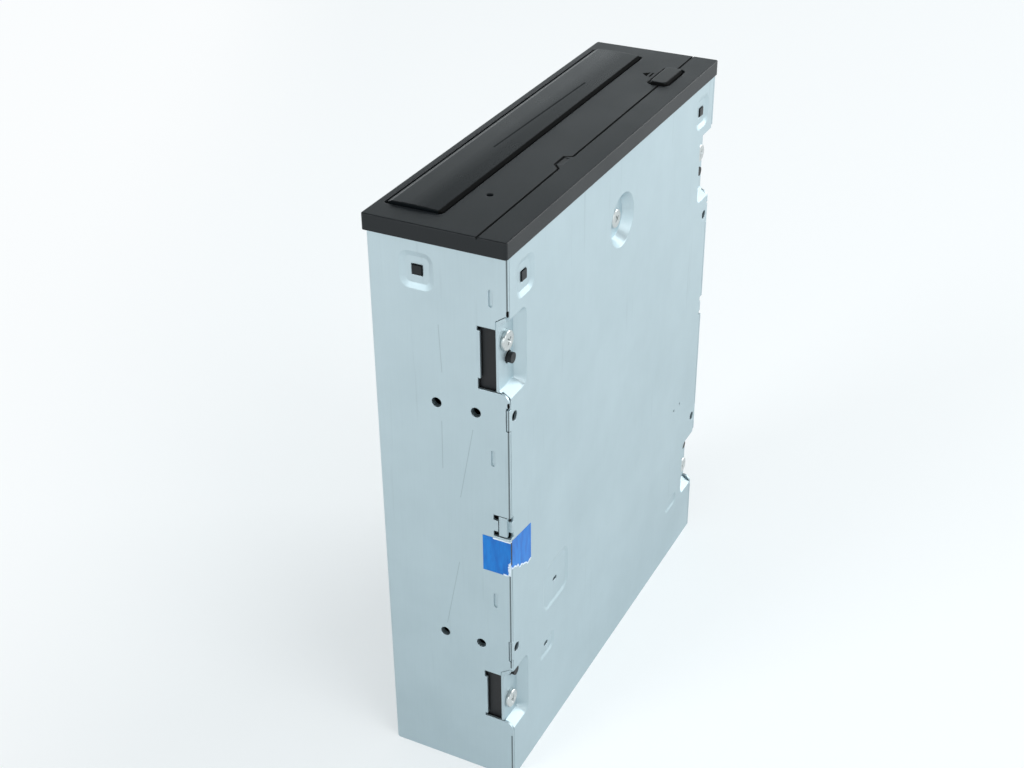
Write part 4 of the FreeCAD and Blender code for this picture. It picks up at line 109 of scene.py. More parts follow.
# %% Camera
EYE = Vector((-0.37556, -0.17678, 0.34607))
AIM = Vector((0.0, 0.01586, 0.09133))
ROLL = math.radians(-0.576)
LENS = 54.08

camera = bpy.data.objects.new("camera", bpy.data.cameras.new("camera"))
camera.data.lens = LENS
camera.data.sensor_width = 36.0
camera.data.clip_start = 10 * MM
camera.location = EYE
camera.rotation_mode = "QUATERNION"
camera.rotation_quaternion = (AIM - EYE).to_track_quat("-Z", "Y") @ Quaternion((0, 0, 1), ROLL)
bpy.context.scene.collection.objects.link(camera)
bpy.context.scene.camera = camera
print("camera", round((AIM - EYE).length, 3), "m from its aim")

# %% [markdown]
# ## The studio
#
# The drive was photographed on a white cloth that sweeps up behind it. A plain floor does the same
# here. Its paint is a real white that takes the shadow, mixed with light of its own that only the
# camera, mirror rays and rays through glass see: so the background is bright while the lamps stay
# low enough for colours to render as they are written. The cloth is nearest to pure white on the
# left, where the photograph has its window, so the share of glow grows that way, and it is weakest
# round the foot of the drive, where the cloth shows the real shadow and the steel mirrors it.

# %% Floor
FLOOR_SIZE = 12.0
FLOOR_GLOW = 0.50
WINDOW_GLOW = 0.92
WINDOW_WAY = (-0.45, 0.89, 0)
WINDOW_REACH = (0.10, 0.26)
FOOT_GLOW = 0.75
FOOT_REACH = (0.10, 0.55)

floor_mesh = bpy.data.meshes.new("studio_floor")
corner = FLOOR_SIZE / 2
floor_mesh.from_pydata([(-corner, -corner, 0), (corner, -corner, 0), (corner, corner, 0),
                        (-corner, corner, 0)], [], [(0, 1, 2, 3)])
floor = show("studio_floor", floor_mesh)

paint = bpy.data.materials.new("white_cotton_sweep")
paint.use_nodes = True
tree = paint.node_tree
tree.nodes.clear()
ray = add(tree, "ShaderNodeLightPath")
seen = add(tree, "ShaderNodeMath", {
    0: ray.outputs["Is Camera Ray"], 1: ray.outputs["Is Glossy Ray"]}, operation="MAXIMUM")
seen = add(tree, "ShaderNodeMath", {
    0: seen.outputs[0], 1: ray.outputs["Is Transmission Ray"]}, operation="MAXIMUM")
spot = add(tree, "ShaderNodeTexCoord").outputs["Object"]
leftward = add(tree, "ShaderNodeVectorMath", {0: spot, 1: WINDOW_WAY}, operation="DOT_PRODUCT")
bright = add(tree, "ShaderNodeMapRange", {
    "Value": leftward.outputs["Value"], "From Min": WINDOW_REACH[0], "From Max": WINDOW_REACH[1],
    "To Min": FLOOR_GLOW, "To Max": WINDOW_GLOW}, interpolation_type="SMOOTHSTEP")
away = add(tree, "ShaderNodeVectorMath", {0: spot}, operation="LENGTH")
nearby = add(tree, "ShaderNodeMapRange", {
    "Value": away.outputs["Value"], "From Min": FOOT_REACH[0], "From Max": FOOT_REACH[1],
    "To Min": FOOT_GLOW, "To Max": 1.0}, interpolation_type="SMOOTHSTEP")
share = add(tree, "ShaderNodeMath", {0: nearby.outputs[0], 1: bright.outputs[0]}, operation="MULTIPLY")
share = add(tree, "ShaderNodeMath", {0: seen.outputs[0], 1: share.outputs[0]}, operation="MULTIPLY")
cloth = add(tree, "ShaderNodeBsdfDiffuse", {"Color": linear("F3F6F7")})
glow = add(tree, "ShaderNodeEmission", {"Color": linear("FCFEFF"), "Strength": 1.0})
blend = add(tree, "ShaderNodeMixShader", {
    0: share.outputs[0], 1: cloth.outputs["BSDF"], 2: glow.outputs["Emission"]})
add(tree, "ShaderNodeOutputMaterial", {"Surface": blend.outputs["Shader"]})
floor_mesh.materials.append(paint)

# %% [markdown]
# What glossy plastic mirrors matters as much as the lamps. The sweep ends some way above the drive
# and the room over it is dim, and the bezel shows it: its near left end mirrors the dim room, its far
# right end the top of the sweep. So mirror rays find a bright band above the horizon that fades out
# with height, where the world's Generated output is the direction of the ray. Diffuse rays get an
# even fill, and the camera sees white.

# %% World
SKY_FILL = 0.62
SKY_SEEN = 0.97
SWEEP_LIGHT = 1.55
ROOM_LIGHT = 0.08
SWEEP_TOP = math.radians(16.5)
ROOM_LOW = math.radians(27)

world = bpy.data.worlds.new("studio_air")
world.use_nodes = True
bpy.context.scene.world = world
tree = world.node_tree
tree.nodes.clear()
ray = add(tree, "ShaderNodeLightPath")
heading = add(tree, "ShaderNodeTexCoord").outputs["Generated"]
height = add(tree, "ShaderNodeSeparateXYZ", {0: heading}).outputs["Z"]
mirrored = add(tree, "ShaderNodeMapRange", {
    "Value": height, "From Min": math.sin(SWEEP_TOP), "From Max": math.sin(ROOM_LOW),
    "To Min": SWEEP_LIGHT, "To Max": ROOM_LIGHT}, interpolation_type="SMOOTHSTEP")
level = add(tree, "ShaderNodeMix", {
    0: ray.outputs["Is Glossy Ray"], 2: SKY_FILL, 3: mirrored.outputs[0]}, data_type="FLOAT")
seen = add(tree, "ShaderNodeMath", {
    0: ray.outputs["Is Camera Ray"], 1: ray.outputs["Is Transmission Ray"]}, operation="MAXIMUM")
level = add(tree, "ShaderNodeMix", {
    0: seen.outputs[0], 2: level.outputs[0], 3: SKY_SEEN}, data_type="FLOAT")
sky = add(tree, "ShaderNodeBackground", {"Color": linear("EFF7FA"), "Strength": level.outputs[0]})
add(tree, "ShaderNodeOutputWorld", {"Surface": sky.outputs["Background"]})

# %% [markdown]
# ## Four soft boxes
#
# In the photograph the bottom of the drive, which faces the camera's right, is a tenth brighter than
# its side, and the ramps that end its stamped pockets are nearly white. A large soft box far to the
# right and a small near one in front, both where those ramps mirror them, do this. A weaker one on
# the left keeps the side open and draws thin bright lines along the edges of the bezel, and a fourth
# overhead, on the camera's side, lights the cloth.

# %% Lamps
soft_boxes = {
    "key": ((-0.36, -0.95, 0.90), 0.7, 3.3),
    "right": ((2.60, -2.20, 1.60), 2.4, 74.0),
    "side": ((-1.6, 0.75, 1.15), 0.7, 8.5),
    "top": ((-0.5, -0.6, 1.9), 1.4, 5.5),
}
for name, (place, side, power) in soft_boxes.items():
    lamp = bpy.data.lights.new(f"soft_box_{name}", "AREA")
    lamp.shape = "SQUARE"
    lamp.size = side
    lamp.energy = power
    holder = bpy.data.objects.new(f"soft_box_{name}", lamp)
    holder.location = place
    holder.rotation_mode = "QUATERNION"
    holder.rotation_quaternion = (AIM - Vector(place)).to_track_quat("-Z", "Y")
    bpy.context.scene.collection.objects.link(holder)

# %% [markdown]
# ## A start for every finish
#
# Each finish below is one Principled shader with patterns in its colour, roughness and bump. All of
# them share the same start: the shader, its output, the Object coordinates, which are metres on the
# real object, and a Bevel node, which rounds every sharp edge by a fraction of a millimetre as it is
# shaded. No real edge is perfectly sharp, and this thin line of light is what makes a part look made.

# %% New material
materials = {}


def finish(name, colour, roughness, edge, **sockets):
    """A Principled material by name: returns its tree, its shader, its coordinates and its edge normal."""
    material = bpy.data.materials.new(name)
    material.use_nodes = True
    tree = material.node_tree
    tree.nodes.clear()
    materials[name] = material
    shader = add(tree, "ShaderNodeBsdfPrincipled", {
        "Base Color": linear(colour), "Roughness": roughness, **sockets})
    add(tree, "ShaderNodeOutputMaterial", {"Surface": shader.outputs["BSDF"]})
    place = add(tree, "ShaderNodeTexCoord").outputs["Object"]
    rounded = add(tree, "ShaderNodeBevel", {"Radius": edge}, samples=4)
    return tree, shader, place, rounded.outputs["Normal"]


def feed(tree, shader, colour, roughness, normal):
    """Links the last nodes of three patterns to the colour, the roughness and the normal of a finish."""
    tree.links.new(colour.outputs[MIXED], shader.inputs["Base Color"])
    tree.links.new(roughness.outputs[0], shader.inputs["Roughness"])
    tree.links.new(normal.outputs[0], shader.inputs["Normal"])


# %% [markdown]
# Another helper is for marks that follow a line, such as a scratch or a crease: it says how far a
# point is from the nearest of a few straight lines, each given by two places in millimetres.

# %% Distance from lines
def near_lines(tree, place, lines):
    """The distance in metres from the nearest of the lines, built from vector maths."""
    nearest = 1.0
    for start, end in lines:
        start = Vector(start) * MM
        run = Vector(end) * MM - start
        offset = add(tree, "ShaderNodeVectorMath", {0: place, 1: start}, operation="SUBTRACT")
        along = add(tree, "ShaderNodeVectorMath", {0: offset.outputs[0], 1: run / run.length_squared},
                    operation="DOT_PRODUCT")
        share = add(tree, "ShaderNodeClamp", {"Value": along.outputs["Value"]})
        foot = add(tree, "ShaderNodeVectorMath", {0: run, "Scale": share.outputs[0]}, operation="SCALE")
        gap = add(tree, "ShaderNodeVectorMath", {0: offset.outputs[0], 1: foot.outputs[0]},
                  operation="DISTANCE")
        nearest = add(tree, "ShaderNodeMath", {0: gap.outputs["Value"], 1: nearest},
                      operation="MINIMUM").outputs[0]
    return nearest


# %% [markdown]
# ## Zinc-coated steel
#
# The covers are electro-galvanised sheet. A thin layer of zinc leaves it pale and slightly blue, with
# a satin sheen: metallic, but rough enough that it mirrors nothing. Some marks sit where the
# photograph shows them: four scratches on the left side, painted shade down the corner where one cover
# ends on the other, and a black notch painted at each end of the front pocket for the shade in a hole
# that the solids lack. A tone says how far a mark or a pattern takes the colour towards its darker one.

# %% Marks in known places
SCRATCH_WIDTH = 0.16 * MM
SCRATCH_TONE = 0.55
# Painted shade: the notches stand for holes the solids lack, and the lap for the shadowed seam where the
# covers meet.
NOTCH = 0.60 * MM
NOTCH_SHADE_COLOUR = "040505"
NOTCHES = [((-73, -20.65, 160.5), (-73, -20.65, 161.3)), ((-73, -20.65, 133.4), (-73, -20.65, 134.0))]
SCRATCHES = [((-73, -0.2, 153.1), (-73, -0.8, 139.0)), ((-73, -0.2, 123.5), (-73, 0.0, 108.2)),
             ((-73, -9.7, 123.3), (-73, -5.3, 100.1)), ((-73, -4.3, 77.2), (-73, 0.4, 53.5))]
LAP_WIDTH = 0.32 * MM
LAP_SHADE_TONE = 0.75
LAP_SHADE_COLOUR = "2B3032"
LAPS = [((-73, -20.4, 176), (-73, -20.4, 161)), ((-73, -20.4, 133), (-73, -20.4, 97.5)),
        ((-73, -20.4, 83), (-73, -20.4, 44)), ((-73, -20.4, 17), (-73, -20.4, 0))]


def painted_lap_and_notch_shade(tree, place, colour):
    """Paints shade into a node's colour: along the lap where the covers meet, and as black notches by the
    front pocket, for holes the solids lack.
    """
    lap_shade = add(tree, "ShaderNodeMapRange", {
        "Value": near_lines(tree, place, LAPS), "From Min": 0.4 * LAP_WIDTH, "From Max": LAP_WIDTH,
        "To Min": LAP_SHADE_TONE, "To Max": 0.0})
    colour = add(tree, "ShaderNodeMix", {
        0: lap_shade.outputs[0], COLOUR_A: colour.outputs[MIXED], COLOUR_B: linear(LAP_SHADE_COLOUR)},
        data_type="RGBA")
    clear_of_notch_shade = add(tree, "ShaderNodeMapRange", {
        "Value": near_lines(tree, place, NOTCHES), "From Min": 0.8 * NOTCH, "From Max": NOTCH})
    colour = add(tree, "ShaderNodeMix", {
        0: clear_of_notch_shade.outputs[0], COLOUR_A: linear(NOTCH_SHADE_COLOUR), COLOUR_B: colour.outputs[MIXED]},
        data_type="RGBA")
    return colour


# %% [markdown]
# A few patterns break the steel up, each from a real size. Rolling leaves a grain along the sheet a
# third of a millimetre apart, handling leaves cloudy patches a few centimetres wide, and sliding in
# and out of a bay leaves a few fine scuffs. The grain is a noise that is stretched nearly fifty times
# along the drive. Towards the rear end, on which the drive stands, shade is painted in: the colour
# grows darker and the surface a little rougher, for the shadowed cloth that the steel mirrors there.

# %% Zinc-coated steel
GRAIN_WIDTH = 0.30 * MM
GRAIN_LENGTH = 14 * MM
GRAIN_TONE = 0.13
PATCH = 38 * MM
PATCH_TONE = 0.26
SCUFF_WIDTH = 1.6 * MM
SCUFF_LENGTH = 46 * MM
SCUFF_TONE = 0.30
REAR_SHADE_TONE = 0.34


def zinc_coated_steel(name, light, dark, roughness):
    """Galvanised sheet, grained along the drive, with cloudy patches, faint scuffs and painted shade
    towards the rear end.
    """
    tree, shader, place, rounded = finish(name, light, roughness, 0.34 * MM, Metallic=0.92)
    along = add(tree, "ShaderNodeMapping", {
        "Vector": place, "Scale": (1 / GRAIN_WIDTH, 1 / GRAIN_WIDTH, 1 / GRAIN_LENGTH)})
    grain = add(tree, "ShaderNodeTexNoise", {"Vector": along.outputs[0], "Scale": 1.0, "Detail": 3.0})
    patch = add(tree, "ShaderNodeTexNoise", {"Vector": place, "Scale": 1 / PATCH, "Detail": 4.0,
                                             "Roughness": 0.6})
    leaning = add(tree, "ShaderNodeMapping", {
        "Vector": place, "Rotation": (0.12, 0.09, 0),
        "Scale": (1 / SCUFF_WIDTH, 1 / SCUFF_WIDTH, 1 / SCUFF_LENGTH)})
    scuff = add(tree, "ShaderNodeTexNoise", {"Vector": leaning.outputs[0], "Scale": 1.0, "Detail": 2.0})
    scuffed = add(tree, "ShaderNodeMapRange", {
        "Value": scuff.outputs["Fac"], "From Min": 0.66, "From Max": 0.80})
    tone = add(tree, "ShaderNodeMapRange", {
        "Value": patch.outputs["Fac"], "From Min": 0.30, "From Max": 0.72, "To Max": PATCH_TONE})
    # Painted shade: the colour grows darker towards the rear end, where the drive stands on the floor.
    level = add(tree, "ShaderNodeSeparateXYZ", {0: place}).outputs["Z"]
    painted_rear_shade = add(tree, "ShaderNodeMapRange", {
        "Value": level, "From Min": 10 * MM, "From Max": 170 * MM, "To Min": REAR_SHADE_TONE, "To Max": 0.0})
    tone = add(tree, "ShaderNodeMath", {0: tone.outputs[0], 1: painted_rear_shade.outputs[0]}, operation="ADD")
    streak_and_shade = add(tree, "ShaderNodeMath", {0: grain.outputs["Fac"], 1: GRAIN_TONE, 2: tone.outputs[0]},
                 operation="MULTIPLY_ADD")
    wear_and_shade = add(tree, "ShaderNodeMath", {0: scuffed.outputs[0], 1: SCUFF_TONE, 2: streak_and_shade.outputs[0]},
               operation="MULTIPLY_ADD", use_clamp=True)
    scored = add(tree, "ShaderNodeMapRange", {
        "Value": near_lines(tree, place, SCRATCHES), "From Min": SCRATCH_WIDTH / 2,
        "From Max": SCRATCH_WIDTH, "To Min": SCRATCH_TONE, "To Max": 0.0})
    wear_and_shade = add(tree, "ShaderNodeMath", {0: scored.outputs[0], 1: wear_and_shade.outputs[0]}, operation="ADD",
               use_clamp=True)
    colour = add(tree, "ShaderNodeMix", {
        0: wear_and_shade.outputs[0], COLOUR_A: linear(light), COLOUR_B: linear(dark)}, data_type="RGBA")
    colour = painted_lap_and_notch_shade(tree, place, colour)
    dull = add(tree, "ShaderNodeMapRange", {
        "Value": streak_and_shade.outputs[0], "To Min": roughness - 0.06, "To Max": roughness + 0.10})
    bump = add(tree, "ShaderNodeBump", {"Height": grain.outputs["Fac"], "Distance": 0.004 * MM,
                                        "Strength": 0.5, "Normal": rounded})
    feed(tree, shader, colour, dull, bump)


zinc_coated_steel("zinc_coated_steel", "C2D3D9", "A3B4BA", 0.46)
zinc_coated_steel("zinc_coated_strip", "B4BEC1", "939DA1", 0.40)

# %% [markdown]
# ## Moulded plastics
#
# The bezel, the chassis, the tray, the gears and the sockets are all injection moulded, and they
# differ in colour, in polish and in the skin that the mould gives them. A spark-eroded mould leaves
# a skin of tiny dimples: the real ones are under a tenth of a millimetre, and they are drawn about
# three times as coarse here so that they show. Plastic is never metallic and its index of refraction
# is near 1.5. Flow and handling leave the gloss slightly uneven over a few centimetres.

# %% Moulded plastic
FLOW = 26 * MM
CREASE_WIDTH = 0.5 * MM
CREASE_ROUGHNESS = 0.85
# The colour of the painted shade in gaps.
GAP_SHADE_COLOUR = "030404"


def moulded(name, colour, tint, roughness, dimple, depth, edge=0.12 * MM, gleam=0.36, creases=(),
            gaps=(), gap_width=0.4 * MM, **sockets):
    """Injection-moulded plastic: two close tints, an eroded skin of this dimple size, uneven gloss.

    Creases and gaps are lines in mm. A crease is a dull fold in the surface, and a gap gets painted shade:
    black and fully dull.
    """
    tree, shader, place, rounded = finish(name, colour, roughness, edge, IOR=1.5, **{
        "Specular IOR Level": gleam, **sockets})
    flow = add(tree, "ShaderNodeTexNoise", {"Vector": place, "Scale": 1 / FLOW, "Detail": 3.0})
    skin = add(tree, "ShaderNodeTexNoise", {"Vector": place, "Scale": 1 / dimple, "Detail": 2.0,
                                            "Roughness": 0.55})
    colours = add(tree, "ShaderNodeMix", {
        0: flow.outputs["Fac"], COLOUR_A: linear(colour), COLOUR_B: linear(tint)}, data_type="RGBA")
    speck = add(tree, "ShaderNodeMath", {0: skin.outputs["Fac"], 1: 0.5, 2: flow.outputs["Fac"]},
                operation="MULTIPLY_ADD")
    gloss = add(tree, "ShaderNodeMapRange", {
        "Value": speck.outputs[0], "From Min": 0.4, "From Max": 1.1, "To Min": roughness - 0.05,
        "To Max": roughness + 0.07})
    bump = add(tree, "ShaderNodeBump", {"Height": skin.outputs["Fac"], "Distance": depth,
                                        "Strength": 0.55, "Normal": rounded})
    if creases:
        fold = add(tree, "ShaderNodeMapRange", {
            "Value": near_lines(tree, place, creases), "From Max": CREASE_WIDTH},
            interpolation_type="SMOOTHSTEP")
        bump = add(tree, "ShaderNodeBump", {"Height": fold.outputs[0], "Distance": 0.01 * MM,
                                            "Strength": 1.0, "Normal": bump.outputs[0]})
        gloss = add(tree, "ShaderNodeMix", {0: fold.outputs[0], 2: CREASE_ROUGHNESS,
                                            3: gloss.outputs[0]}, data_type="FLOAT")
    # Painted shade: near a gap the colour goes to black and the surface to fully dull.
    if gaps:
        clear = add(tree, "ShaderNodeMapRange", {
            "Value": near_lines(tree, place, gaps), "From Min": 0.6 * gap_width,
            "From Max": gap_width}, interpolation_type="SMOOTHSTEP")
        colours = add(tree, "ShaderNodeMix", {0: clear.outputs[0], COLOUR_A: linear(GAP_SHADE_COLOUR),
                                              COLOUR_B: colours.outputs[MIXED]}, data_type="RGBA")
        gloss = add(tree, "ShaderNodeMix", {0: clear.outputs[0], 2: 1.0, 3: gloss.outputs[0]},
                    data_type="FLOAT")
    feed(tree, shader, colours, gloss, bump)


# %% [markdown]
# The tray door is more polished than the bezel, and a long shallow crease runs along it. In the seam
# of the bezel and in the gaps by the door and the button, where plastic meets plastic, hardly any
# light comes back, so shade is painted there: the colour goes to black and the surface turns fully
# dull. On the door and the button this painted shade lies on their own edges next to the gaps.

# %% Bezel, door and button
FACE = 181.2
SEAM = [(-75, -12.6, FACE), (-26.7, -12.6, FACE), (-24.3, -10.4, FACE), (-18.3, -10.4, FACE),
        (-17.3, -12.6, FACE), (75, -12.6, FACE)]
BUTTON_GAP = [(44.8, -9.2, FACE), (44.8, -14.9, FACE), (59.5, -14.9, FACE)]
moulded("abs_charcoal_eroded", "12171A", "161B1E", 0.40, 0.30 * MM, 0.030 * MM, edge=0.40 * MM,
        gleam=0.31, gaps=list(zip(SEAM, SEAM[1:])), gap_width=0.44 * MM)
moulded("abs_charcoal_polished", "0F1416", "14181B", 0.28, 0.34 * MM, 0.010 * MM, edge=0.34 * MM,
        gleam=0.17, creases=[((-22.4, 9.2, 182.0), (34.8, 7.7, 182.0))],
        gaps=[((-66, 2.1, FACE), (66, 2.1, FACE))], gap_width=1.15 * MM)
moulded("abs_charcoal_button", "0F1314", "121617", 0.36, 0.30 * MM, 0.015 * MM, edge=0.25 * MM,
        gleam=0.25, gaps=list(zip(BUTTON_GAP, BUTTON_GAP[1:])), gap_width=0.9 * MM)

# %% [markdown]
# Inside, each plastic follows its job: glass-filled black for the chassis, smooth black for the tray,
# white acetal for gears because it slides well, nylon and polyester for the sockets. The white ones
# let a little light in, which a low subsurface weight gives. Rubber, epoxy and ferrite are moulded
# too, so they take the same pattern.

# %% Plastics inside
moulded("abs_black_chassis", "17181A", "1C1D1F", 0.50, 0.45 * MM, 0.030 * MM)
moulded("abs_black_tray", "1F2022", "242527", 0.44, 0.40 * MM, 0.020 * MM)
moulded("acetal_white", "E6E4DC", "DEDBD1", 0.38, 0.60 * MM, 0.010 * MM,
        **{"Subsurface Weight": 0.15, "Subsurface Scale": 0.6 * MM})
moulded("nylon_white_socket", "E9E6DB", "E0DCCF", 0.45, 0.50 * MM, 0.015 * MM,
        **{"Subsurface Weight": 0.12, "Subsurface Scale": 0.6 * MM})
moulded("pbt_black_socket", "18191A", "1D1E1F", 0.48, 0.40 * MM, 0.020 * MM)
moulded("epoxy_chip_body", "1A1A1B", "202021", 0.62, 0.22 * MM, 0.020 * MM, edge=0.05 * MM)
moulded("rubber_black", "151515", "1B1B1B", 0.74, 0.35 * MM, 0.020 * MM)
moulded("ferrite_magnet", "36373A", "2D2E31", 0.42, 0.30 * MM, 0.010 * MM)
moulded("polycarbonate_light_guide", "15181A", "121517", 0.40, 0.50 * MM, 0.004 * MM, edge=0.05 * MM,
        **{"Transmission Weight": 0.10})

# %% [markdown]
# ## Turned, drawn and cast metals
#
# The screws are nickel plated: warm grey and bright. Motor cans are drawn from tinned steel and keep
# fine lines around them. The guide rods and the lead screw are ground, so they are nearly mirrors.
# The carriage of the pickup is a die casting with a sandy skin. One function makes all of these,
# because they differ only in colour, roughness, and the size and direction of their marks.

# %% Metals
def metal(name, light, dark, roughness, marks, depth, edge=0.08 * MM):
    """A bare or plated metal. Marks is the size of its tool marks along X, Y and Z."""
    tree, shader, place, rounded = finish(name, light, roughness, edge, Metallic=1.0)
    lines = add(tree, "ShaderNodeMapping", {"Vector": place, "Scale": [1 / size for size in marks]})
    mark = add(tree, "ShaderNodeTexNoise", {"Vector": lines.outputs[0], "Scale": 1.0, "Detail": 3.0})
    colours = add(tree, "ShaderNodeMix", {
        0: mark.outputs["Fac"], COLOUR_A: linear(light), COLOUR_B: linear(dark)}, data_type="RGBA")
    dull = add(tree, "ShaderNodeMapRange", {
        "Value": mark.outputs["Fac"], "From Min": 0.25, "From Max": 0.75, "To Min": roughness - 0.05,
        "To Max": roughness + 0.08})
    bump = add(tree, "ShaderNodeBump", {"Height": mark.outputs["Fac"], "Distance": depth,
                                        "Strength": 0.5, "Normal": rounded})
    feed(tree, shader, colours, dull, bump)


metal("nickel_plated_steel", "D3D7D6", "B9BEBE", 0.30, [0.5 * MM] * 3, 0.006 * MM)
metal("tinned_steel_can", "C4C6C7", "A9ABAD", 0.34, [3 * MM, 0.25 * MM, 3 * MM], 0.006 * MM)
metal("ground_steel_rod", "CFD1D3", "B8BABD", 0.16, [0.2 * MM, 0.2 * MM, 6 * MM], 0.003 * MM)
metal("zinc_alloy_casting", "A9ABAC", "8B8E90", 0.50, [0.5 * MM] * 3, 0.030 * MM)
metal("drawn_aluminium_can", "CDD0D3", "B6B9BD", 0.28, [2 * MM, 2 * MM, 0.3 * MM], 0.005 * MM)
metal("gold_flashed_brass", "D9B86A", "C29F52", 0.26, [0.4 * MM] * 3, 0.004 * MM)
metal("tin_solder", "C9CBCC", "AEB0B2", 0.30, [0.3 * MM] * 3, 0.010 * MM)
print(len(materials), "finishes")

# %% [markdown]
# ## Solder-masked laminate
#
# A circuit board is glass cloth in epoxy under a green lacquer, and its copper tracks show through
# the lacquer as slightly paler lines. Tracks run straight and turn by 45 degrees, and the edges
# between the cells of a Voronoi pattern, measured by Chebychev distance, do much the same: a thin
# band along each edge is the track, about a quarter of a millimetre wide.

# %% Circuit board
TRACK_PITCH = 2.1 * MM

tree, shader, place, rounded = finish("fr4_green_mask", "0F3D25", 0.30, 0.05 * MM, **{"Coat Weight": 0.4})
cells = add(tree, "ShaderNodeTexVoronoi", {"Vector": place, "Scale": 1 / TRACK_PITCH},
            feature="F1", distance="CHEBYCHEV")
nearest = add(tree, "ShaderNodeTexVoronoi", {"Vector": place, "Scale": 1 / TRACK_PITCH},
              feature="F2", distance="CHEBYCHEV")
gap = add(tree, "ShaderNodeMath", {0: nearest.outputs["Distance"], 1: cells.outputs["Distance"]},
          operation="SUBTRACT")
track = add(tree, "ShaderNodeMapRange", {"Value": gap.outputs[0], "From Min": 0.10, "From Max": 0.13,
                                         "To Min": 1.0, "To Max": 0.0})
green = add(tree, "ShaderNodeMix", {0: track.outputs[0], COLOUR_A: linear("0F3D25"),
                                    COLOUR_B: linear("1E5C38")}, data_type="RGBA")
raised = add(tree, "ShaderNodeBump", {"Height": track.outputs[0], "Distance": 0.03 * MM,
                                      "Strength": 0.6, "Normal": rounded})
tree.links.new(green.outputs[MIXED], shader.inputs["Base Color"])
tree.links.new(raised.outputs[0], shader.inputs["Normal"])

# %% [markdown]
# ## The objective lens
#
# The lens is a bead of clear moulded glass with a coating that reflects blue and violet. A thin coat
# with its own tint over a transmitting body gives both.

# %% Coated glass
tree, shader, place, rounded = finish("coated_lens_glass", "9DB4FF", 0.04, 0.02 * MM, IOR=1.52, **{
    "Transmission Weight": 0.85, "Coat Weight": 1.0, "Coat Roughness": 0.02,
    "Coat Tint": linear("7A8CFF")})
smear = add(tree, "ShaderNodeTexNoise", {"Vector": place, "Scale": 1 / (1.5 * MM), "Detail": 2.0})
film = add(tree, "ShaderNodeMapRange", {"Value": smear.outputs["Fac"], "To Min": 0.02, "To Max": 0.10})
tree.links.new(film.outputs[0], shader.inputs["Roughness"])

# %% [markdown]
# ## Which piece wears which finish
#
# The solids keep their own shapes, and only their material slots change. What sits on the same
# process gets the same finish: every screw is nickel plated, every wheel of the gear train is
# acetal, because a gear made of it needs no grease.

# %% Dress the solids
wardrobe = {
    "zinc_coated_steel": ["top_cover", "bottom_cover"],
    "zinc_coated_strip": ["clamper_bracket", "traverse_plate", "rod_clips"],
    "abs_charcoal_eroded": ["front_bezel"],
    "abs_charcoal_polished": ["tray_door"],
    "abs_charcoal_button": ["eject_button"],
    "polycarbonate_light_guide": ["led_lens"],
    "abs_black_chassis": ["loader_chassis", "lift_frame"],
    "abs_black_tray": ["disc_tray", "clamp_puck"],
    "acetal_white": ["tray_drive_gear", "pulley_gear", "motor_pulley", "cam_slider"],
    "rubber_black": ["drive_belt", "damper_bushes", "turntable_ring"],
    "tinned_steel_can": ["loading_motor", "spindle_motor", "turntable", "sled_motor"],
    "ground_steel_rod": ["guide_rods", "lead_screw"],
    "zinc_alloy_casting": ["pickup_carriage"],
    "coated_lens_glass": ["objective_lens"],
    "pbt_black_socket": ["lens_holder", "data_socket", "jumper_block", "eject_switch"],
    "nylon_white_socket": ["power_socket", "audio_sockets", "switch_plunger", "indicator_led"],
    "gold_flashed_brass": ["signal_pins"],
    "tin_solder": ["power_pins"],
    "nickel_plated_steel": ["cover_screws", "bracket_screws", "board_screws", "damper_screws"],
    "fr4_green_mask": ["main_board", "front_board"],
    "epoxy_chip_body": ["board_chips"],
    "drawn_aluminium_can": ["board_capacitors"],
    "ferrite_magnet": ["clamp_magnet"],
}
for finish_name, members in wardrobe.items():
    for member in members:
        slots = nodes[member].data.materials
        for i in range(len(slots)):
            slots[i] = materials[finish_name]
print(sum(len(members) for members in wardrobe.values()), "of", len(nodes), "nodes dressed")

# %% [markdown]
# ## Running a Geometry Nodes tree
#
# What repeats is grown by Geometry Nodes. A tree is built here with named inputs, run once on a
# small carrier mesh, and turned into a plain mesh: then it rides on one body as any other piece
# does, and nothing depends on the tree any more. An input is set by its identifier, which the
# tree's interface tells.

# %% Trees and what grows on them
def new_tree(name, inputs):
    """A Geometry Nodes tree with named inputs (label: socket kind); returns it with its input node."""
    tree = bpy.data.node_groups.new(name, "GeometryNodeTree")
    tree.interface.new_socket("Geometry", in_out="INPUT", socket_type="NodeSocketGeometry")
    for label, kind in inputs.items():
        tree.interface.new_socket(label, in_out="INPUT", socket_type=f"NodeSocket{kind}")
    tree.interface.new_socket("Geometry", in_out="OUTPUT", socket_type="NodeSocketGeometry")
    return tree, add(tree, "NodeGroupInput")


def grow(name, tree, carrier, inputs):
    """Runs a tree on a carrier mesh and returns the result as one plain mesh object."""
    holder = show(f"{name}_carrier", carrier)
    modifier = holder.modifiers.new("grow", "NODES")
    modifier.node_group = tree
    for item in tree.interface.items_tree:
        if item.in_out == "INPUT" and item.name in inputs:
            modifier[item.identifier] = inputs[item.name]
    depsgraph = bpy.context.evaluated_depsgraph_get()
    grown = bpy.data.meshes.new_from_object(holder.evaluated_get(depsgraph), depsgraph=depsgraph)
    bpy.data.objects.remove(holder)
    grown.name = name
    print(name, len(grown.polygons), "faces")
    return show(name, grown)


# %% [markdown]
# ## Where a group of solids lies
#
# Screws come as one node that holds several solids. To set a detailed screw on each, the node's
# mesh is copied, its loose triangles are joined, and the islands are walked. For each island the
# places along one axis give the end that faces out, its middle, its radius and its length.

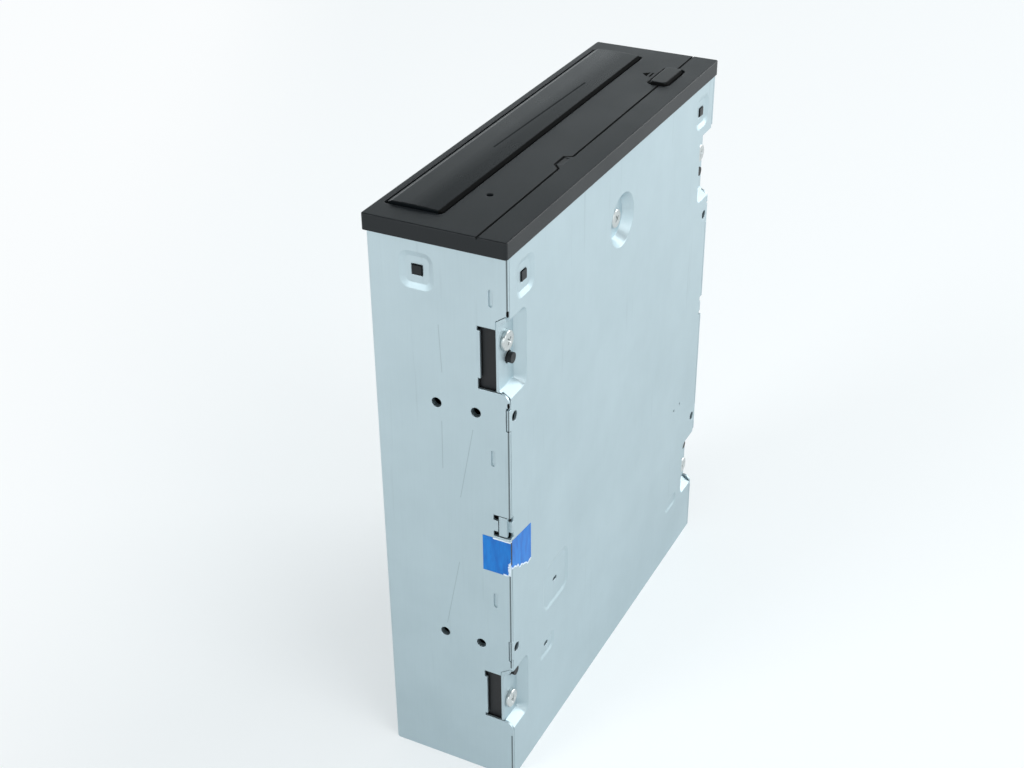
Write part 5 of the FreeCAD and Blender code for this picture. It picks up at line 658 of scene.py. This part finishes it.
# %% Islands
def islands(node):
    """The separate solids of a node, each as a list of its corner points."""
    joined = bmesh.new()
    joined.from_mesh(nodes[node].data)
    bmesh.ops.remove_doubles(joined, verts=joined.verts, dist=0.002 * MM)
    left = set(joined.verts)
    found = []
    while left:
        reached = [left.pop()]
        for vert in reached:
            near = {edge.other_vert(vert) for edge in vert.link_edges} & left
            left -= near
            reached.extend(near)
        found.append([vert.co.copy() for vert in reached])
    joined.free()
    return sorted(found, key=lambda points: [round(v, 5) for v in sum(points, Vector()) / len(points)])


def end_of(points, outward):
    """The middle of the face that looks outward, the largest radius about it, and the length."""
    heights = [point.dot(outward) for point in points]
    face = [point for point, height in zip(points, heights) if height > max(heights) - 0.02 * MM]
    middle = sum(face, Vector()) / len(face)
    radius = max((point - middle - outward * (point - middle).dot(outward)).length for point in points)
    return middle, radius, max(heights) - min(heights)


# %% [markdown]
# ## Cross-recess screws
#
# The covers are held by pan-head screws with a cross recess: in the photograph the heads are thick,
# bright and flat on top with a dark cross. The master screw is turned from a profile.

# %% Turned shapes
TURNS = 40


def turned(profile):
    """A closed mesh turned about Z from points of radius and height that start and end on the axis."""
    shape = bmesh.new()
    rings = []
    for radius, height in profile:
        count = TURNS if radius else 1
        rings.append([shape.verts.new((radius * math.cos(math.tau * i / count),
                                       radius * math.sin(math.tau * i / count), height))
                      for i in range(count)])
    for low, high in zip(rings, rings[1:]):
        for i in range(TURNS):
            corners = [low[i % len(low)], low[(i + 1) % len(low)], high[(i + 1) % len(high)],
                       high[i % len(high)]]
            shape.faces.new(dict.fromkeys(corners))
    return shape


def as_mesh(shape, name, sharp=math.radians(32)):
    """Ends a bmesh as a mesh with outward faces, smooth except at edges sharper than the angle."""
    bmesh.ops.recalc_face_normals(shape, faces=shape.faces)
    mesh = bpy.data.meshes.new(name)
    shape.to_mesh(mesh)
    shape.free()
    mesh.shade_smooth()
    mesh.set_sharp_from_angle(angle=sharp)
    return mesh


# %% [markdown]
# The cross is cut into the head by a Boolean with a tapered cutter.

# %% Screw with a cross recess
FLAT_TOP = math.radians(11)


def cross_cutter(width, reach, depth):
    """A tapered cross that points down: wide above the surface and narrow at its tip."""
    shape = bmesh.new()
    half = width / 2
    outline = [(half, half), (half, reach), (-half, reach), (-half, half)]
    loop = [Vector((x, y)) for x, y in outline]
    arms = []
    for turn in range(4):
        spin = Matrix.Rotation(turn * math.pi / 2, 2)
        arms += [spin @ point for point in loop[:3]]
    levels = [(0.3 * depth, 1.1), (0.0, 1.0), (-depth, 0.45)]
    rings = [[shape.verts.new((*(point * scale), height)) for point in arms] for height, scale in levels]
    for low, high in zip(rings, rings[1:]):
        for i in range(len(low)):
            j = (i + 1) % len(low)
            shape.faces.new((low[i], low[j], high[j], high[i]))
    shape.faces.new(rings[0])
    shape.faces.new(list(reversed(rings[-1])))
    return shape


def pan_screw(name, radius, head, shank, length):
    """A pan-head screw along Z with its top at 0, cut with a cross recess."""
    rim = [(0.0, 0.0), (0.80 * radius, 0.0), (0.93 * radius, -0.08 * head), (0.99 * radius, -0.24 * head),
           (radius, -0.40 * head), (radius, -0.94 * head), (0.97 * radius, -head)]
    pitch = 0.5 * MM
    turns = max(1, int((length - head - pitch) / pitch))
    thread = []
    for i in range(turns):
        level = -head - pitch * (i + 0.5)
        thread += [(0.84 * shank, level), (shank, level - pitch * 0.30), (shank, level - pitch * 0.55)]
    body = as_mesh(turned([*rim, (0.9 * shank, -head), *thread, (0.7 * shank, -length), (0.0, -length)]),
                   name)
    screw = show(name, body)
    cutter = show(f"{name}_cutter", as_mesh(cross_cutter(0.20 * radius, 0.46 * radius, 0.80 * head),
                                            f"{name}_cutter"))
    cut = screw.modifiers.new("cross", "BOOLEAN")
    cut.operation = "DIFFERENCE"
    cut.solver = "EXACT"
    cut.object = cutter
    depsgraph = bpy.context.evaluated_depsgraph_get()
    mesh = bpy.data.meshes.new_from_object(screw.evaluated_get(depsgraph), depsgraph=depsgraph)
    bpy.data.objects.remove(screw)
    bpy.data.objects.remove(cutter)
    mesh.set_sharp_from_angle(angle=FLAT_TOP)
    return show(name, mesh)


# %% [markdown]
# A tree then sets the screws. Object Info brings in the master, Instance on Points copies it, Align
# Rotation to Vector turns its Z axis outwards, and Random Value, with a fixed seed, gives each its
# own angle, because nobody lines screws up.

# %% The tree that sets screws
screw_tree, given = new_tree("set_screws", {
    "Screw": "Object", "Outward": "Vector", "Seed": "Int", "Steel": "Material"})
master = add(screw_tree, "GeometryNodeObjectInfo", {"Object": given.outputs["Screw"]})
facing = add(screw_tree, "FunctionNodeAlignRotationToVector", {"Vector": given.outputs["Outward"]},
             axis="Z")
chance = add(screw_tree, "FunctionNodeRandomValue", {"Seed": given.outputs["Seed"]}, data_type="FLOAT")
chance.inputs[3].default_value = math.tau
spin = add(screw_tree, "ShaderNodeCombineXYZ", {"Z": chance.outputs[1]})
facing = add(screw_tree, "FunctionNodeRotateRotation", {
    "Rotation": facing.outputs[0], "Rotate By": spin.outputs[0]}, rotation_space="LOCAL")
placed = add(screw_tree, "GeometryNodeInstanceOnPoints", {
    "Points": given.outputs["Geometry"], "Instance": master.outputs["Geometry"],
    "Rotation": facing.outputs[0]})
real = add(screw_tree, "GeometryNodeRealizeInstances", {"Geometry": placed.outputs["Instances"]})
plated = add(screw_tree, "GeometryNodeSetMaterial", {
    "Geometry": real.outputs["Geometry"], "Material": given.outputs["Steel"]})
add(screw_tree, "NodeGroupOutput", {"Geometry": plated.outputs["Geometry"]})


# %% [markdown]
# A node of plain screws gives the places, the radius and the length of the screws that replace them.

# %% Screws in their places
def set_screws(piece_name, node, body, outward, head, shank, seed):
    """Replaces a node of plain screws by cross-recess ones at the same places."""
    ends = [end_of(points, outward) for points in islands(node)]
    groups = {}
    for middle, radius, length in ends:
        groups.setdefault((round(radius, 5), round(length, 5)), []).append(middle)
    shapes = bmesh.new()
    for (radius, length), middles in groups.items():
        one = pan_screw(f"{piece_name}_master", radius, head, shank, length)
        carrier = bpy.data.meshes.new(f"{piece_name}_points")
        carrier.from_pydata(middles, [], [])
        part = grow(piece_name, screw_tree, carrier, {
            "Screw": one, "Outward": outward, "Seed": seed, "Steel": materials["nickel_plated_steel"]})
        shapes.from_mesh(part.data)
        bpy.data.objects.remove(part)
        bpy.data.objects.remove(one)
    mesh = bpy.data.meshes.new(piece_name)
    shapes.to_mesh(mesh)
    shapes.free()
    mesh.materials.append(materials["nickel_plated_steel"])
    mesh.set_sharp_from_angle(angle=FLAT_TOP)
    piece = show(piece_name, mesh)
    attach(piece, body)
    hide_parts(node)
    print(piece_name, len(ends), "screws")


joints = {joint["name"]: joint for joint in frame["joints"]}
deck_normal = Vector(joints["spindle_spin"]["axis"])
set_screws("cross_cover_screws", "cover_screws", "root", Vector((0, -1, 0)), 1.2 * MM, 1.4 * MM, 4)
set_screws("cross_board_screws", "board_screws", "root", Vector((0, 1, 0)), 1.0 * MM, 1.2 * MM, 7)
set_screws("cross_bracket_screws", "bracket_screws", "root", Vector((0, 1, 0)), 0.9 * MM, 1.2 * MM, 9)
set_screws("cross_damper_screws", "damper_screws", "traverse", deck_normal, 0.9 * MM, 1.2 * MM, 2)

# %% [markdown]
# ## The lead screw
#
# A stepper motor turns this screw to move the laser in and out. Its thread is a helix of 3 mm pitch,
# and a helix follows a rule, so a tree makes it: a Spiral curve of the right pitch and length,
# swept with a small flat-topped ridge, around a plain core.

# %% A helix from nodes
thread_tree, given = new_tree("lead_thread", {
    "Turns": "Float", "Radius": "Float", "Length": "Float", "Ridge": "Float", "Steel": "Material"})
helix = add(thread_tree, "GeometryNodeCurveSpiral", {
    "Resolution": 28, "Rotations": given.outputs["Turns"], "Start Radius": given.outputs["Radius"],
    "End Radius": given.outputs["Radius"], "Height": given.outputs["Length"]})
ridge = add(thread_tree, "GeometryNodeCurvePrimitiveCircle", {
    "Resolution": 6, "Radius": given.outputs["Ridge"]}, mode="RADIUS")
swept = add(thread_tree, "GeometryNodeCurveToMesh", {
    "Curve": helix.outputs["Curve"], "Profile Curve": ridge.outputs["Curve"], "Fill Caps": True})
both = add(thread_tree, "GeometryNodeJoinGeometry")
thread_tree.links.new(swept.outputs["Mesh"], both.inputs["Geometry"])
thread_tree.links.new(given.outputs["Geometry"], both.inputs["Geometry"])
real = add(thread_tree, "GeometryNodeRealizeInstances", {"Geometry": both.outputs["Geometry"]})
ground = add(thread_tree, "GeometryNodeSetMaterial", {
    "Geometry": real.outputs["Geometry"], "Material": given.outputs["Steel"]})
add(thread_tree, "NodeGroupOutput", {"Geometry": ground.outputs["Geometry"]})

LEAD_PITCH = 3.0 * MM
CORE_SHARE = 0.72
THREAD_START = 0.8 * MM
PLAIN_LENGTH = 9 * MM
screw_axis = Vector(joints["lead_screw_spin"]["axis"])
screw_points = [point for solid in islands("lead_screw") for point in solid]
heel, screw_radius, screw_length = end_of(screw_points, -screw_axis)
core_radius = CORE_SHARE * screw_radius
thread_length = screw_length - PLAIN_LENGTH
core = as_mesh(turned([(0.0, 0.0), (core_radius - 0.1 * MM, 0.0), (core_radius, 0.2 * MM),
                       (core_radius, screw_length - 0.2 * MM), (core_radius - 0.1 * MM, screw_length),
                       (0.0, screw_length)]), "lead_core")
core.transform(Matrix.Translation((0, 0, -THREAD_START)))
lead = grow("lead_screw_thread", thread_tree, core, {
    "Turns": thread_length / LEAD_PITCH, "Radius": core_radius, "Length": thread_length,
    "Ridge": screw_radius - core_radius, "Steel": materials["ground_steel_rod"]})
upright = screw_axis.to_track_quat("Z", "Y").to_matrix().to_4x4()
lead.data.transform(Matrix.Translation(heel) @ upright @ Matrix.Translation((0, 0, THREAD_START)))
lead.data.shade_smooth()
lead.data.set_sharp_from_angle(angle=math.radians(40))
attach(lead, "screw")
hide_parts("lead_screw")

# %% [markdown]
# ## The torn seal
#
# A blue seal is stuck over the corner where the two covers meet, and someone has opened the drive:
# the film is slit along the fold, ragged and whitish at its lower edge. It is a sheet of film wrapped
# round the corner, so its mesh is a grid in film coordinates: one runs round the corner and the other
# down the drive.

# %% Film coordinates
label_low, label_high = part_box("seal_label")
FILM = 0.07 * MM
BEND = 0.06 * MM
SEAL_STEP = 0.15 * MM
SIDE_DROP = 12.0 * MM
BOTTOM_DROP = 9.0 * MM
BOTTOM_MORE = 5.2 * MM
side_reach = label_high.y - label_low.y
bottom_reach = label_high.x - label_low.x
seal_top = label_high.z
case_x = label_low.x + 0.10 * MM
case_y = label_low.y + 0.10 * MM


def on_case(run):
    """The place and the outward direction at this run: up the side below 0, on the bottom above 0."""
    flat = BEND * math.pi / 4
    if run < -flat:
        return Vector((case_x, case_y + BEND - run - flat, 0)), Vector((-1, 0, 0))
    if run > flat:
        return Vector((case_x + BEND + run - flat, case_y, 0)), Vector((0, -1, 0))
    turn = (run + flat) / BEND
    out = Vector((-math.cos(turn), -math.sin(turn), 0))
    return Vector((case_x + BEND, case_y + BEND, 0)) + out * BEND, out


def seal_end(run):
    """How far down the film reaches at this run: straight on the side, ragged across the bottom."""
    if run < 0:
        ragged = max(0.0, 1 + run / (2.4 * MM))
        return SIDE_DROP + ragged * 0.9 * MM * noise.noise(Vector((run * 900, 3.1, 0)))
    share = run / (bottom_reach + 0.01 * MM)
    tear = 0.75 * MM * noise.noise(Vector((run * 800, 7.7, 0))) + 0.3 * MM * noise.noise(
        Vector((run * 3100, 1.2, 0)))
    return BOTTOM_DROP + BOTTOM_MORE * min(1.0, share * 1.25) + tear


# %% [markdown]
# The grid leaves the print bare. One attribute says how torn each point is, which the material turns
# into the white of bare film, and another marks the slit, where shade is painted dark for the open cut.

# %% Seal mesh
runs = [-side_reach + BEND * (1 - math.pi / 4) + SEAL_STEP * i
        for i in range(int((side_reach + bottom_reach - 2 * BEND * (1 - math.pi / 4)) / SEAL_STEP) + 1)]
ROWS = 64
DROOP = 1.4 * MM
HEM = 0.40 * MM
SLIT_END = 0.80 * MM
film = bmesh.new()
torn = film.verts.layers.float.new("torn")
slit_shade = film.verts.layers.float.new("slit_shade")
grid = []
for run in runs:
    place_on_case, out = on_case(run)
    droop = DROOP * max(0.0, run) / bottom_reach
    column = []
    for row in range(ROWS + 1):
        share = row / ROWS
        depth = droop + (seal_end(run) - droop) * share
        lift = FILM * (0.5 + 0.5 * noise.noise(Vector((run * 300, depth * 300, 5))))
        edge = max(0.0, 1 - (1 - share) * seal_end(run) / (1.5 * MM)) if run > -2.4 * MM else 0.0
        worn_fold = max(0.0, 1 + run / (2.2 * MM)) if run < 0 else max(0.0, 1 - run / (0.5 * MM))
        fold = worn_fold * min(1.0, max(0.0, share - 0.15) * 1.5)
        hem = 0.0
        if depth - droop < HEM:
            hem = 0.95 if -5.5 * MM < run < SLIT_END else 0.0
        vert = film.verts.new(place_on_case + out * lift + Vector((0, 0, seal_top - depth)))
        vert[torn] = max(edge, fold, hem)
        # This attribute marks where shade is painted for the slit.
        vert[slit_shade] = 1.0 if 0.05 * MM < run < SLIT_END and 0.02 < share < 0.86 else 0.0
        column.append(vert)
    grid.append(column)
for left_column, right_column in zip(grid, grid[1:]):
    for row in range(ROWS):
        film.faces.new((left_column[row], left_column[row + 1], right_column[row + 1], right_column[row]))
seal_mesh = bpy.data.meshes.new("torn_seal")
film.to_mesh(seal_mesh)
film.free()
seal = show("torn_seal", seal_mesh)
wall = seal.modifiers.new("film", "SOLIDIFY")
wall.thickness = FILM
wall.offset = -1.0
seal_mesh.shade_smooth()

# %% [markdown]
# The print is a strong blue, streaked along the drive, under a clear satin film. White shows in a
# thin border, where the film was cut, and where it was torn.

# %% Seal film
tree, shader, place, rounded = finish("polyester_seal_film", "066FC3", 0.44, 0.02 * MM, IOR=1.5,
                                      **{"Specular IOR Level": 0.34})
wear = add(tree, "ShaderNodeAttribute", attribute_name="torn")
crease = add(tree, "ShaderNodeTexNoise", {"Vector": place, "Scale": 1 / (0.9 * MM), "Detail": 5.0,
                                          "Roughness": 0.65})
fibre = add(tree, "ShaderNodeMath", {0: wear.outputs["Fac"], 1: crease.outputs["Fac"]},
            operation="MULTIPLY")
white = add(tree, "ShaderNodeMapRange", {"Value": fibre.outputs[0], "From Min": 0.27, "From Max": 0.36})
streaks = add(tree, "ShaderNodeMapping", {
    "Vector": place, "Scale": (1 / (1.6 * MM), 1 / (1.6 * MM), 1 / (7 * MM))})
print_tone = add(tree, "ShaderNodeTexNoise", {"Vector": streaks.outputs[0], "Scale": 1.0, "Detail": 3.0})
toned = add(tree, "ShaderNodeMapRange", {"Value": print_tone.outputs["Fac"], "From Min": 0.36,
                                         "From Max": 0.66})
blue = add(tree, "ShaderNodeMix", {0: toned.outputs[0], COLOUR_A: linear("0064B9"),
                                   COLOUR_B: linear("087ACE")}, data_type="RGBA")
both_tones = add(tree, "ShaderNodeMix", {0: white.outputs[0], COLOUR_A: blue.outputs[MIXED],
                                         COLOUR_B: linear("DCE8F2")}, data_type="RGBA")
# Painted shade: the slit is coloured dark, for the shadow in the open cut along the fold.
slit_shade_mask = add(tree, "ShaderNodeAttribute", attribute_name="slit_shade")
both_tones = add(tree, "ShaderNodeMix", {0: slit_shade_mask.outputs["Fac"], COLOUR_A: both_tones.outputs[MIXED],
                                         COLOUR_B: linear("0A1C33")}, data_type="RGBA")
cockle = add(tree, "ShaderNodeBump", {"Height": crease.outputs["Fac"], "Distance": 0.05 * MM,
                                      "Strength": 0.35})
tree.links.new(both_tones.outputs[MIXED], shader.inputs["Base Color"])
tree.links.new(cockle.outputs[0], shader.inputs["Normal"])
seal_mesh.materials.append(materials["polyester_seal_film"])
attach(seal, "root")
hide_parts("seal_label")
print("seal", len(runs), "columns")

# %% [markdown]
# ## The eject mark
#
# Beside the button the bezel carries the usual sign: a triangle over a bar, sunk into the plastic and
# dark. It stands proud of the face by a hair here, as a pad print does.

# %% Eject mark
bezel_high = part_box("front_bezel")[1]
button_low, button_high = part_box("eject_button")
MARK_WIDTH = 3.5 * MM
MARK_WALL = 0.03 * MM
mark_x = (button_low.x + button_high.x) / 2
bar_y = -7.1 * MM
moulded("pad_print_black", "030303", "060606", 0.85, 0.30 * MM, 0.004 * MM, edge=0.01 * MM,
        **{"Specular IOR Level": 0.05})

mark = bmesh.new()
half_width = MARK_WIDTH / 2
for outline in ([(-half_width, -0.28 * MM), (half_width, -0.28 * MM), (half_width, 0.28 * MM),
                 (-half_width, 0.28 * MM)],
                [(-half_width, 1.0 * MM), (half_width, 1.0 * MM), (0, 3.0 * MM)]):
    low = [mark.verts.new((mark_x + x, bar_y + y, bezel_high.z - 0.01 * MM)) for x, y in outline]
    high = [mark.verts.new((mark_x + x, bar_y + y, bezel_high.z + MARK_WALL)) for x, y in outline]
    mark.faces.new(high)
    mark.faces.new(list(reversed(low)))
    for i in range(len(low)):
        j = (i + 1) % len(low)
        mark.faces.new((low[i], low[j], high[j], high[i]))
mark_mesh = as_mesh(mark, "eject_mark")
mark_mesh.materials.append(materials["pad_print_black"])
eject_mark = show("eject_mark", mark_mesh)
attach(eject_mark, "root")

# %% [markdown]
# ## Last lines
#
# The render shows its colours through the Standard view transform.

# %% View transform
bpy.context.scene.view_settings.view_transform = "Standard"
